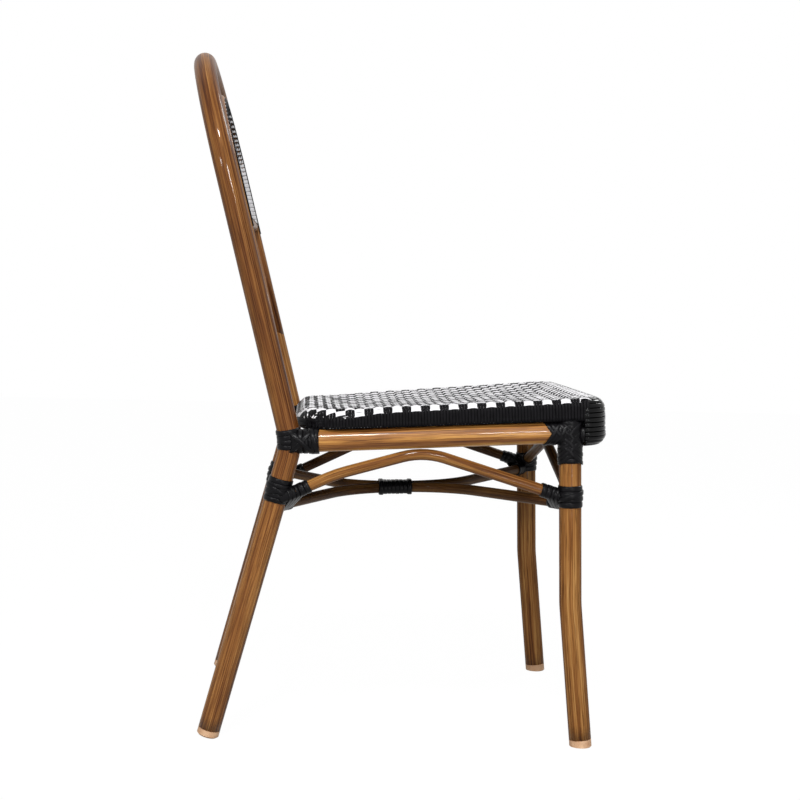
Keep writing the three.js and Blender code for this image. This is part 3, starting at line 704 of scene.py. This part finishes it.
def waveAt(run, pitch, overAt, riseAt=None):
    # Height of the wave at a run measured in cells: level on a cell, crossing at its ends
    cells = run / pitch
    index = math.floor(cells + 1e-6)
    share = cells - index
    level = min(1.0, 3 * min(share, 1 - share))
    if not overAt(index):
        return -seat["wave"] * level
    return (seat["wave"] + (riseAt(index) if riseAt else 0)) * level


def waveRuns(start, end, pitch):
    # Places along a strand: thirds of the cells between its ends
    step = pitch / 3
    first, last = math.ceil(start / step + 0.3), math.floor(end / step - 0.3)
    return [start, *[i * step for i in range(first, last + 1)], end]


def seatWeft(bm, y, row, halfWidth):
    # A black strand across: over the flat, round both edges, down the side bands and in under them
    flat = widthAt(y, seat["edge"])
    if flat is None:
        return
    width, over = laneAt(y), blackOver(row)
    stations = []
    for x in waveRuns(-flat, flat, width):
        lift = waveAt(x, width, over, lambda column: cellRise(column, row))
        stations.append((Vector((x, y, seat["top"] + lift)), Vector((0, 0, 1))))
    drop = seat["top"] - seat["edge"] - seat["hang"]
    tuckIn, tuckDown, tuckLean = seat["bandTuck"]
    for side in (-1, 1):
        end = []
        for i in range(1, 2 * seat["arcSteps"] + 1):
            lean = math.pi / 4 * i / seat["arcSteps"]
            point, normal = edgePlace(side * widthAt(y, seat["edge"] * (1 - math.sin(lean))), y)
            run = flat + seat["edge"] * lean
            inWeave = (seat["columns"] + 1) * width > run
            lift = waveAt(side * run, width, over) if inWeave else seat["bandLift"]
            end.append((point + normal * lift, normal))
        wall, normal = end[-1]
        end += [(wall - Vector((0, 0, drop * share)), normal) for share in seat["bandSteps"]]
        tucked = end[-1][0] - normal * tuckIn - Vector((0, 0, tuckDown))
        end.append((tucked, (normal * tuckLean - Vector((0, 0, 1))).normalized()))
        stations = stations + end if side > 0 else end[::-1] + stations
    layStrand(bm, stations, halfWidth)


def sectionEnd(section):
    quarter = section["edge"] * math.pi / 2
    return quarter + seat["top"] - section["edge"] - section["barZ"] + section["bar"] * math.pi


def sectionPlace(section, run):
    # How far in from the outline, how high and how steep the section is at a run from the flat's end
    edge, bar = section["edge"], section["bar"]
    quarter, wallTop = edge * math.pi / 2, seat["top"] - edge
    wall = wallTop - section["barZ"]
    if run < 0:
        return edge - run, seat["top"], 0
    if run <= quarter:
        lean = run / edge
        return edge * (1 - math.sin(lean)), wallTop + edge * math.cos(lean), lean
    if run <= quarter + wall:
        return 0, wallTop - (run - quarter), math.pi / 2
    lean = math.pi / 2 + min((run - quarter - wall) / bar, math.pi)
    return bar * (1 + math.cos(lean + math.pi / 2)), section["barZ"] + bar * math.cos(lean), lean


def edgeWeft(bm, section, run, row, halfWidth):
    # A black strand along the front or rear edge and round its corners
    inset, z, lean = sectionPlace(section, run)
    out, tilt = math.sin(lean), math.cos(lean)
    way, radius, steps = section["way"], section["corner"] - inset, section["cornerSteps"]
    cornerX, cornerY = seat["halfWidth"] - section["corner"], section["end"] - way * section["corner"]

    def station(x, turn, woven):
        normal = Vector((math.sin(turn) * out, way * math.cos(turn) * out, tilt))
        lift = waveAt(x, lane, blackOver(row)) if woven else seat["cornerLift"]
        return Vector((x, cornerY + way * radius * math.cos(turn), z)) + normal * lift, normal

    straight = [station(x, 0, True) for x in waveRuns(-cornerX, cornerX, lane)]
    turns = [section["cornerTurn"] * i / steps for i in range(1, steps + 1)]
    corner = [station(cornerX + radius * math.sin(turn), turn, section["cornerWoven"]) for turn in turns]
    opposite = [(Vector((-p.x, p.y, p.z)), Vector((-n.x, n.y, n.z))) for p, n in reversed(corner)]
    layStrand(bm, opposite + straight + corner, halfWidth, section["crown"])


def overEdge(section, x, over):
    # A white strand's stations from the flat over the front or rear edge
    stations = []
    end, way = section["end"], section["way"]
    for run in waveRuns(0, sectionEnd(section), seat["cell"])[1:]:
        inset, height, lean = sectionPlace(section, run)
        normal = Vector((0, way * math.sin(lean), math.cos(lean)))
        lift = waveAt(end - way * section["edge"] + way * run, seat["cell"], over)
        stations.append((Vector((x, end - way * inset, height)) + normal * lift, normal))
    return stations


def seatWarp(bm, column, k, halfWidth):
    # A white strand from front to rear: it starts under the apron, or behind the front corner's black strands
    lanes = column + (k + 0.5) / seat["whitePerCell"]
    pitch = seat["cell"]
    rearY = seat["rear"] - seat["rearCorner"]

    def over(row):
        return whiteOver(column, row)

    def across(y):
        # x and lean at a place along the strand, on the straight part of the sides
        run = lanes * laneAt(y)
        lean = max(0, (abs(run) - flatHalf) / seat["edge"])
        return (run if lean == 0 else math.copysign(flatHalf + seat["edge"] * math.sin(lean), run)), lean

    x, lean = across(seat["front"])
    if abs(x) < seat["warpEndX"]:
        first = flatFront
        stations = overEdge(frontEdge, x, over)[::-1]
    else:
        first = (seat["rows"][0] + (1 if lean > 0.5 else 0)) * pitch + seat["frontStart"]
        point, normal = edgePlace(x, first)
        stations = [(point + Vector(seat["frontTuck"]), normal)]
    x, lean = across(rearY)
    straight = abs(x) <= seat["halfWidth"] - seat["rearCorner"]
    last = flatRear if straight else depthAt(x, seat["edge"]) if lean == 0 else rearY
    for y in waveRuns(first, last, pitch):
        point, normal = edgePlace(across(min(y, rearY))[0], y)
        lift = waveAt(y, pitch, over, lambda row: cellRise(column, row))
        stations.append((point + normal * lift, normal))
    if straight:
        stations += overEdge(rearEdge, x, over)
    else:
        steps = seat["arcSteps"] + 2
        for i in range(1, steps + 1):
            turn = lean + max(0, seat["tuckTurn"] - lean) * i / steps
            y = depthAt(x, seat["edge"] * (1 - math.sin(turn)))
            if y is None:
                break
            point, normal = edgePlace(x, y)
            stations.append((point + normal * waveAt(y, pitch, over), normal))
        end, normal = stations[-1]
        tuckIn, tuckDown = seat["rearTuck"]
        stations.append((end - normal * tuckIn - Vector((0, 0, tuckDown)), normal))
    layStrand(bm, stations, halfWidth)


# How far the sheet has settled, and where along and across the deck each part of that starts
slump = {
    "frontRise": 0.0012, "frontRiseAt": 0.02, "frontRiseReach": 0.03,
    "leftSink": 0.0038, "rearSink": 0.0022, "leftRearSink": 0.0074, "sinkFrom": 0.02, "sinkReach": 0.3,
    "sag": 0.013, "sideHold": 0.008, "frontHold": -0.045, "frontReach": 0.055, "rearHold": 0.012,
    "rearReach": 0.07,
    "shoulder": 0.009, "shoulderWidth": 0.02, "shoulderFrom": 0.12, "shoulderReach": 0.08,
}


def clamped(share):
    return min(1, max(0, share))


def eased(share):
    share = clamped(share)
    return share * share * (3 - 2 * share)


def settle(bm):
    # The sheet sags between the bars, its shoulders are worn round at the rear, and its left side sits lower
    for vert in bm.verts:
        x, y, z = vert.co
        rise = slump["frontRise"]
        rise *= math.exp(-((y - seat["front"] - slump["frontRiseAt"]) / slump["frontRiseReach"]) ** 2)
        back = clamped((y - slump["sinkFrom"]) / slump["sinkReach"])
        lean = (0.5 + 0.5 * x / seat["halfWidth"]) ** 2
        sink = back * (slump["rearSink"] + slump["leftRearSink"] * lean) + slump["leftSink"] * lean
        across = min(1, abs(x) / (seat["halfWidth"] - slump["sideHold"]))
        sag = slump["sag"] * (1 - across * across) * eased((y - slump["frontHold"]) / slump["frontReach"])
        sag *= eased((seat["rear"] - slump["rearHold"] - y) / slump["rearReach"])
        worn = slump["shoulder"] * (1 - clamped(edgeInset(x, y) / slump["shoulderWidth"])) ** 2
        worn *= eased((y - seat["rear"] + slump["shoulderFrom"]) / slump["shoulderReach"])
        vert.co.z += (rise - sink - sag - worn) * clamped(z / seat["top"])
    bmesh.ops.transform(bm, matrix=deck, verts=bm.verts)


def wovenPiece(name, bm, material, node=None):
    giveWall(finished(name, bm, material, node), seat["wall"])


def seatPieces():
    pitch = seat["cell"]
    black = bmesh.new()
    count = seat["blackPerCell"]
    half = pitch / count / 2 - seat["gap"]
    for row in range(seat["rows"][0], seat["rows"][1] + 1):
        for k in range(count):
            y = (row + (k + 0.5) / count) * pitch
            if y < flatRear:
                seatWeft(black, y, row, half)
    settle(black)
    wovenPiece("seat_black_strands", black, deckBlackMaterial, "seat_weave")
    white = bmesh.new()
    count = seat["whitePerCell"]
    half = lane / count / 2 - seat["whiteGap"]
    for column in range(-seat["columns"] - 1, seat["columns"] + 1):
        for k in range(count):
            seatWarp(white, column, k, half)
    settle(white)
    wovenPiece("seat_white_strands", white, whiteMaterial)
    apron = bmesh.new()
    count = seat["apronPerCell"]
    half = pitch / count / 2 - seat["gap"]
    end = sectionEnd(frontEdge)
    for k in range(int(end / pitch * count)):
        run = (k + 0.5) * pitch / count + (flatFront - seat["rows"][0] * pitch)
        if run < end - seat["apronSpare"]:
            edgeWeft(apron, frontEdge, run, math.floor((flatFront - run) / pitch), half)
    settle(apron)
    wovenPiece("apron_black_strands", apron, apronBlackMaterial, "apron_weave")
    back = bmesh.new()
    for k in range(int(sectionEnd(rearEdge) / pitch * count) - seat["rearSpare"]):
        run = (k + 0.5) * pitch / count
        edgeWeft(back, rearEdge, run, math.floor((flatRear + run) / pitch), half)
    settle(back)
    wovenPiece("seat_rear_edge", back, deckBlackMaterial)


seatPieces()


# Bars under the sheet, drawn in deck coordinates so that they settle with it

bars = {
    "meet": 0.00015, "rearBend": 0.05, "frontBend": 0.017, "slack": 0.0005, "apronDrop": 0.0003,
    "crossY": 0.15998, "crossHalf": 0.2007,
}


def deckBar(name, corners, radii, radius, material):
    bm = bmesh.new()
    path = roundedPath([Vector((x, y, seat["barZ"])) for x, y in corners], radii)
    sweepTube(bm, path, radius, (0, 0, 1), 20)
    settle(bm)
    finished(f"{name}_tube", bm, material, name)


barHalf, rearBarY, frontBarY = frontLeg["x"], seat["rearBarY"], seat["frontBarY"]
frameCorners = [
    (bars["meet"], rearBarY), (barHalf, rearBarY), (barHalf, frontBarY),
    (-barHalf, frontBarY), (-barHalf, rearBarY), (-bars["meet"], rearBarY),
]
frameRadii = [bars["rearBend"], bars["frontBend"], bars["frontBend"], bars["rearBend"]]
deckBar("seat_frame", frameCorners, frameRadii, tubes["cross"] - bars["slack"], blackMaterial)
crossEnds = [(side * bars["crossHalf"], bars["crossY"]) for side in (-1, 1)]
deckBar("seat_cross_bar", crossEnds, [], tubes["seatBar"], caneMaterial)
apronLevel = deck @ Vector((barHalf, frontBarY, seat["apronBarZ"] - bars["apronDrop"]))
apronEnds = [onFrontLeg(side, apronLevel.z) for side in (-1, 1)]
apronCorners = [Vector((side * barHalf, apronLevel.y, apronLevel.z)) for side in (-1, 1)]
apronPath = roundedPath([apronEnds[0], *apronCorners, apronEnds[1]], [bars["frontBend"]] * 2)
tubePiece("apron_bar", insideTube(apronPath), tubes["cross"], (0, 0, 1), blackMaterial)
print("seat made")


# Woven back panel, in the plane of the inner hoop

panel = {
    "cell": 0.01206, "whitePerCell": 2, "blackPerCell": 3, "firstStrand": 0.004, "minFacing": 0.36,
    # The strands' ends go up onto the tube's front: degrees round the tube and how far they sink in
    "wrap": 0.008, "wrapRun": 1.7, "wrapTurns": ((-58, 0), (-38, 0), (-20, 0), (-4, 0), (6, 0.0014)),
    "border": 0.0011, "borderLift": 0.008, "borderEnd": 0.655,
}


def archFacing(x, rise):
    # Outward direction of the inner hoop at a point of its axis: across and up
    if rise <= hoop["upright"]:
        return (1, 0) if x > 0 else (-1, 0)
    across = x / innerHalf ** 2
    up = (rise - hoop["upright"]) / innerRise ** 2
    size = math.hypot(across, up)
    return across / size, up / size


def wrapEnd(reach):
    # Stations on the tube as distance past its axis and forward, each with its normal
    points = []
    for degrees, sink in panel["wrapTurns"]:
        out, forward = math.sin(math.radians(degrees)), math.cos(math.radians(degrees))
        points.append((reach * out, (panel["wrap"] - sink) * forward, out, forward))
    return points


def panelStrand(bm, start, end, along, overAt, halfWidth, startReach, endReach):
    # along(distance, forward) gives a point: the strand runs from start to end between the tubes' axes
    direction = (along(1, 0) - along(0, 0)).normalized()
    first, last = start + panel["wrapRun"] * startReach, end - panel["wrapRun"] * endReach
    if last - first < panel["cell"]:
        return
    stations = []
    for past, lift, out, face in reversed(wrapEnd(startReach)):
        stations.append((along(start - past, lift), (direction * -out + backForward * face).normalized()))
    for run in waveRuns(first, last, panel["cell"]):
        stations.append((along(run, waveAt(run, panel["cell"], overAt)), backForward))
    for past, lift, out, face in wrapEnd(endReach):
        stations.append((along(end + past, lift), (direction * out + backForward * face).normalized()))
    layStrand(bm, stations, halfWidth)


def panelPieces():
    pitch, bottom, level = panel["cell"], innerHoop["panelBottom"], innerHoop["forward"]
    white = bmesh.new()
    count = panel["whitePerCell"]
    half = pitch / count / 2 - seat["gap"]
    for k in range(int((hoop["upright"] + innerRise - bottom) / pitch * count)):
        rise = bottom + panel["firstStrand"] + (k + 0.5) * pitch / count
        over = max(0, rise - hoop["upright"]) / innerRise
        if over >= 1:
            continue
        width = innerHalf * math.sqrt(1 - over ** 2)
        facing = abs(archFacing(width, rise)[0])
        if facing < panel["minFacing"]:
            continue
        reach = panel["wrap"] / facing
        panelStrand(white, -width, width, lambda run, lift: onBack(run, rise, level + lift),
                    blackOver(math.floor(rise / pitch)), half, reach, reach)
    wovenPiece("back_white_strands", white, shadedPanelWhiteMaterial, "back_weave")
    black = bmesh.new()
    count = panel["blackPerCell"]
    half = pitch / count / 2 - seat["gap"]
    columns = int(innerHalf / pitch)
    for column in range(-columns, columns):
        for k in range(count):
            x = (column + (k + 0.5) / count) * pitch
            high = hoop["upright"] + innerRise * math.sqrt(1 - (x / innerHalf) ** 2)
            facing = abs(archFacing(x, high)[1])
            if facing < panel["minFacing"]:
                continue
            panelStrand(black, bottom, high, lambda run, lift: onBack(x, run, level + lift),
                        lambda row: whiteOver(column, row), half, panel["wrap"], panel["wrap"] / facing)
    wovenPiece("back_black_strands", black, deckBlackMaterial)
    border = bmesh.new()
    lift = backForward * panel["borderLift"]
    path = [point + lift for point in innerHoopPath() if point.z > panel["borderEnd"]]
    sweepTube(border, path, panel["border"], backForward, 8)
    finished("back_border_strand", border, deckBlackMaterial, None)


panelPieces()
print("back panel made")


# Bindings: strands wound round the joints

binding = {
    "width": 0.0064, "lift": 0.0012, "wall": 0.0011, "crown": 0.0012, "steps": 40, "uneven": 0.0005,
    "jitter": 0.03, "overlap": 1.04, "crossWidth": 0.0032,
    # The black core under the turns
    "core": 0.0008, "coreStart": 0.006, "coreEnd": 0.029,
    # The turns on the thin braces, round one and round two side by side
    "lobeLift": 0.0004, "lobeJitter": 0.1,
    "pairLift": (0.0004, 0.0012), "pairStep": 0.004, "pairOverlap": 1.1,
}
collar = tubes["main"] + binding["lift"]
coreRadius = tubes["main"] + binding["core"]


def strandRing(bm, centre, axis, radius, halfWidth, tilt, tiltWay=None):
    # One turn of strand round a tube; a tilt leans it along the tube
    axis = axis.normalized()
    lean = (Vector(tiltWay) if tiltWay else axis.orthogonal()).normalized()
    lean = (lean - axis * lean.dot(axis)).normalized()
    side = axis.cross(lean)
    stations = []
    for i in range(binding["steps"]):
        turn = math.tau * i / binding["steps"]
        out = lean * math.cos(turn) + side * math.sin(turn)
        stations.append((centre + out * radius + axis * (radius * math.cos(turn) * math.tan(tilt)), out))
    layStrand(bm, stations, halfWidth, binding["crown"], True)


def woundStretch(bm, start, end, radius, width=binding["width"], jitter=binding["jitter"]):
    # Turns of strand side by side from start to end along a tube
    axis = end - start
    count = max(2, round(axis.length / width))
    halfWidth = axis.length / count / 2 * binding["overlap"]
    for i in range(count):
        lift = random.uniform(0, binding["uneven"])
        tilt = random.uniform(-jitter, jitter)
        strandRing(bm, start.lerp(end, (i + 0.5) / count), axis, radius + lift, halfWidth, tilt)


def crossedStrands(bm, centre, axis, lift, way, tilts):
    for i, tilt in enumerate(tilts):
        radius = collar + lift + binding["uneven"] * (i + 1)
        strandRing(bm, centre, axis, radius, binding["crossWidth"], tilt, way)


def fromEnd(path, fromStart, distance):
    # The point at a distance along a brace from the leg's axis
    points = path if fromStart else list(reversed(path))
    for start, end in zip(points, points[1:]):
        length = (end - start).length
        if distance <= length:
            return start.lerp(end, distance / length)
        distance -= length


def lobeWound(bm, path, fromStart, first, last, turns):
    start, end = fromEnd(path, fromStart, first), fromEnd(path, fromStart, last)
    radius = tubes["brace"] + binding["lift"] + binding["lobeLift"]
    woundStretch(bm, start, end, radius, (last - first) / turns, binding["lobeJitter"])


def roundBoth(bm, first, second, way, radius, halfWidth):
    # One turn of strand round two tubes that lie side by side
    apart = (second - first) / 2
    middle = first + apart
    across = (apart - way * apart.dot(way)).normalized()
    lift = way.cross(across)
    stations = []
    for k in range(binding["steps"]):
        turn = math.tau * k / binding["steps"]
        share = max(-1, min(1, math.cos(turn) * 3))
        out = across * math.cos(turn) + lift * math.sin(turn)
        stations.append((middle + apart * share + out * radius, out))
    layStrand(bm, stations, halfWidth, binding["crown"], True)


def pairWound(bm, paths, fromStart, first, last, turns):
    # Turns round two braces that leave a leg together
    for i in range(turns):
        distance = first + (last - first) * (i + 0.5) / turns
        near = [fromEnd(path, fromStart, distance) for path in paths]
        far = [fromEnd(path, fromStart, distance + binding["pairStep"]) for path in paths]
        way = ((far[0] + far[1]) / 2 - (near[0] + near[1]) / 2).normalized()
        radius = tubes["brace"] + binding["lift"] + random.uniform(*binding["pairLift"])
        roundBoth(bm, *near, way, radius, (last - first) / turns / 2 * binding["pairOverlap"])


def braceCore(path, fromStart):
    first, last = binding["coreStart"], binding["coreEnd"]
    points = [fromEnd(path, fromStart, first + (last - first) * i / 6) for i in range(7)]
    return points, tubes["brace"] + binding["core"], (0.3, 0.2, 1)


def blackPiece(name, bm, node):
    giveWall(finished(name, bm, blackMaterial, node), binding["wall"])


def strandPiece(name, sideName, bm, cores):
    # The strands of a joint, and a black core under them that closes the gaps between the turns
    blackPiece(f"{name}_strands_{sideName}", bm, f"{name}_{sideName}")
    bm = bmesh.new()
    for path, radius, hint in cores:
        sweepTube(bm, path, radius, hint)
    finished(f"{name}_core_{sideName}", bm, blackMaterial, None)


# The lower joints: heights on the leg, then (first, last, turns) along the braces from the leg's axis
lowerJoints = {
    "front": {
        "low": 0.3145, "high": 0.3425, "crossAt": 0.52, "crossWay": (0, 1, 0.2), "tilts": (0.2, -0.26),
        "pair": (0.014, 0.030, 3), "arch": (0.027, 0.0405, 2), "bow": (0.024, 0.0365, 2),
    },
    "rear": {
        "low": 0.314, "high": 0.3443, "crossAt": 0.5, "crossWay": (0, -1, 0.2), "tilts": (0.24, -0.22),
        "pair": (0.014, 0.036, 4), "arch": (0.033, 0.047, 2), "bow": (0.030, 0.041, 2),
    },
    "crossArch": (0.014, 0.031, 3), "crossLift": 0.0006,
}


def lowerBinding(end, sideName, onLeg, crossRun, drop):
    joint, side, fromStart = lowerJoints[end], sideNames[sideName], end == "front"
    arch, bowRun = sideArchPath(sideName), bowPath(side)
    bm = bmesh.new()
    low, high = onLeg(side, joint["low"] - drop), onLeg(side, joint["high"] - drop)
    woundStretch(bm, low, high, collar)
    middle = low.lerp(high, joint["crossAt"])
    crossedStrands(bm, middle, high - low, lowerJoints["crossLift"], joint["crossWay"], joint["tilts"])
    pairWound(bm, (arch, bowRun), fromStart, *joint["pair"])
    lobeWound(bm, arch, fromStart, *joint["arch"])
    lobeWound(bm, bowRun, fromStart, *joint["bow"])
    lobeWound(bm, crossRun, side < 0, *lowerJoints["crossArch"])
    cores = [braceCore(arch, fromStart), braceCore(bowRun, fromStart), braceCore(crossRun, side < 0)]
    strandPiece(f"{end}_lower_binding", sideName, bm, [([low, high], coreRadius, (1, 0, 0)), *cores])


# Rail and hoop: from low on the leg to high on the back, and along the rail from the hoop's axis
upperJoint = {
    "low": 0.3815, "high": 0.0235, "bendLow": 0.34, "bendHigh": 0.06, "first": 0.008, "last": 0.0345,
    "core": 0.033, "crossLift": 0.0004, "crossed": ((0.012, (0.75, -0.75)), (0.029, (0.24, -0.2))),
}


def railWound(bm, side, y, sign, joint):
    # Turns along the rail from its end at y, with sign 1 to the rear and -1 to the front, and their core
    end, way = onRail(side, y), (onRail(side, 0.1) - onRail(side, 0)).normalized() * sign
    woundStretch(bm, end + way * joint["first"], end + way * joint["last"], collar)
    return end, way, ([end, end + way * joint["core"]], coreRadius, (0, 0, 1))


def upperBinding(sideName):
    side = sideNames[sideName]
    x = side * hoop["halfWidth"]
    bm = bmesh.new()
    low, high = onRearLeg(side, upperJoint["low"]), onBack(x, upperJoint["high"])
    corners = [onRearLeg(side, upperJoint["bendLow"]), hoopBend(side), onBack(x, upperJoint["bendHigh"])]
    bend = [p for p in roundedPath(corners, [hoop["bendRadius"]]) if low.z <= p.z <= high.z]
    middle = bend[len(bend) // 2]
    woundStretch(bm, bend[0], middle, collar)
    woundStretch(bm, middle, bend[-1], collar)
    end, way, core = railWound(bm, side, rail["rearY"], -1, upperJoint)
    for distance, tilts in upperJoint["crossed"]:
        crossedStrands(bm, end + way * distance, way, upperJoint["crossLift"], (0, 0, 1), tilts)
    strandPiece("rear_upper_binding", sideName, bm, [(bend, coreRadius, (1, 0, 0)), core])


# Rail and front leg: a herringbone on both
cornerWrap = {
    "bottom": 0.372, "overTop": 0.0012, "jitter": 0.12, "first": 0.008, "last": 0.022, "core": 0.021,
    "step": 0.0056, "halfWidth": 0.0029,
    "leg": {"first": 0.0125, "turns": 6, "lift": 0.0005, "tilt": 0.66, "face": (0, 1, 0)},
    "rail": {"first": 0.006, "turns": 4, "lift": 0.0003, "tilt": 0.56, "face": (0, 0, 1)},
}


def herringbone(bm, start, way, first, turns, lift, tilt, face):
    for i in range(turns):
        centre = start + way * (first + cornerWrap["step"] * i)
        for sign in (1, -1):
            radius = collar + lift + binding["uneven"] * ((i + (sign > 0)) % 2)
            strandRing(bm, centre, way, radius, cornerWrap["halfWidth"], tilt * sign, face)


def cornerBinding(sideName):
    side = sideNames[sideName]
    bm = bmesh.new()
    bottom = onFrontLeg(side, cornerWrap["bottom"])
    top = onFrontLeg(side, rail["frontZ"] + tubes["main"] + cornerWrap["overTop"])
    woundStretch(bm, bottom, top, collar, jitter=cornerWrap["jitter"])
    herringbone(bm, bottom, (top - bottom).normalized(), **cornerWrap["leg"])
    end, way, core = railWound(bm, side, frontLeg["topY"], 1, cornerWrap)
    herringbone(bm, end, way, **cornerWrap["rail"])
    strandPiece("front_corner_wrap", sideName, bm, [([bottom, top], coreRadius, (1, 0, 0)), core])


for sideName in sideNames:
    drop = sideArch["rearZ"]["right"] - sideArch["rearZ"][sideName]
    lowerBinding("front", sideName, onFrontLeg, frontArchPath, 0)
    lowerBinding("rear", sideName, onRearLeg, rearArchPath, drop)
    upperBinding(sideName)
    cornerBinding(sideName)


# The tie at the middle goes round both bows

tie = {"length": 0.046, "turns": 8, "radius": 0.0093, "flare": 0.0013, "overlap": 1.08}


def bowAt(side, y):
    path = bowPath(side)
    for start, end in zip(path, path[1:]):
        if min(start.y, end.y) <= y <= max(start.y, end.y):
            return start.lerp(end, (y - start.y) / (end.y - start.y))


bm = bmesh.new()
halfWidth = tie["length"] / tie["turns"] / 2 * tie["overlap"]
for i in range(tie["turns"]):
    y = bow["middleY"] + tie["length"] * ((i + 0.5) / tie["turns"] - 0.5)
    flare = tie["flare"] if i in (0, tie["turns"] - 1) else random.uniform(0, binding["uneven"])
    roundBoth(bm, bowAt(-1, y), bowAt(1, y), Vector((0, 1, 0)), tie["radius"] + flare, halfWidth)
blackPiece("centre_binding_strands", bm, "centre_binding")
print("bindings made")


# Floor, light and camera

light = {"world": 0.15}
ground = {"colour": 0.3, "glow": 1.052, "glowShare": 0.94, "halfSize": 6}
# Place, aim, size and watts
lamps = {
    "key": ((-2.0, 0.17, 2.6), (0, 0, 0.45), 0.3, 60),
    "fillFront": ((-2.15, -0.38, 1.12), (0, 0, 0.4), 0.22, 13),
    "fillRear": ((-1.95, 1.3, 0.95), (0, 0, 0.4), 0.22, 13),
    "low": ((-2.4, -0.6, 0.12), (0, 0, 0.05), 0.4, 7),
    "far": ((1.6, -1.6, 2.2), (0, 0, 0.5), 0.8, 28),
}


def seenRays(finish):
    # 1 for the rays that show the background: camera, glossy and transmission
    kinds = ("Camera", "Glossy", "Transmission")
    camera, glossy, through = (finish.node("ShaderNodeLightPath", output=f"Is {kind} Ray") for kind in kinds)
    return camera.math("MAXIMUM", camera.math("MAXIMUM", camera, glossy), through)


def mixShaders(finish, factor, first, second, output):
    mix = finish.node("ShaderNodeMixShader", {}, {0: factor, 1: first, 2: second})
    finish.tree.links.new(mix.socket, finish.tree.nodes[output].inputs["Surface"])


def studio():
    white = (1, 1, 1, 1)
    sky = Finish("studio", {"Color": white, "Strength": light["world"]}, bpy.data.worlds, "Background")
    bpy.context.scene.world = sky.owner
    shown = sky.node("ShaderNodeBackground", {}, {"Color": white})
    mixShaders(sky, seenRays(sky), Wire(sky, sky.shader.outputs[0]), shown, "World Output")


def floorPiece():
    bm = bmesh.new()
    bmesh.ops.create_grid(bm, x_segments=1, y_segments=1, size=ground["halfSize"])
    mesh = bpy.data.meshes.new("floor")
    bm.to_mesh(mesh)
    bm.free()
    look = Finish("floor", {})
    look.tree.nodes.remove(look.shader)
    pale = look.node("ShaderNodeBsdfDiffuse", {}, {"Color": (*[ground["colour"]] * 3, 1)})
    glow = look.node("ShaderNodeEmission", {}, {"Strength": ground["glow"]})
    mixShaders(look, seenRays(look) * ground["glowShare"], pale, glow, "Material Output")
    mesh.materials.append(look.owner)
    floor = placed("floor", mesh)


def lamp(name, place, aim, size, power):
    source = bpy.data.lights.new(name, "AREA")
    source.shape = "SQUARE"
    source.size = size
    source.energy = power
    way = Vector(aim) - Vector(place)
    turn = way.to_track_quat("-Z", "Y").to_matrix().to_4x4()
    placed(name, source).matrix_world = Matrix.Translation(place) @ turn


def placeCamera():
    yaw, pitch, roll = (cameraPlace[key] for key in ("yaw", "pitch", "roll"))
    ahead = Vector((math.cos(pitch) * math.cos(yaw), math.cos(pitch) * math.sin(yaw), math.sin(pitch)))
    level = Vector((math.sin(yaw), -math.cos(yaw), 0))
    above = level.cross(ahead)
    right = level * math.cos(roll) + above * math.sin(roll)
    up = above * math.cos(roll) - level * math.sin(roll)
    camera = bpy.data.cameras.new("camera")
    camera.lens = cameraPlace["focalPixels"] / cameraPlace["imagePixels"] * cameraPlace["sensor"]
    camera.sensor_width = cameraPlace["sensor"]
    holder = placed("camera", camera)
    turn = Matrix((right, up, -ahead)).transposed().to_4x4()
    holder.matrix_world = Matrix.Translation(cameraPlace["position"]) @ turn
    bpy.context.scene.camera = holder


studio()
floorPiece()
for name, (place, aim, size, power) in lamps.items():
    lamp(name, place, aim, size, power)
placeCamera()
bpy.context.scene.view_settings.view_transform = "Standard"
print("stage ready")
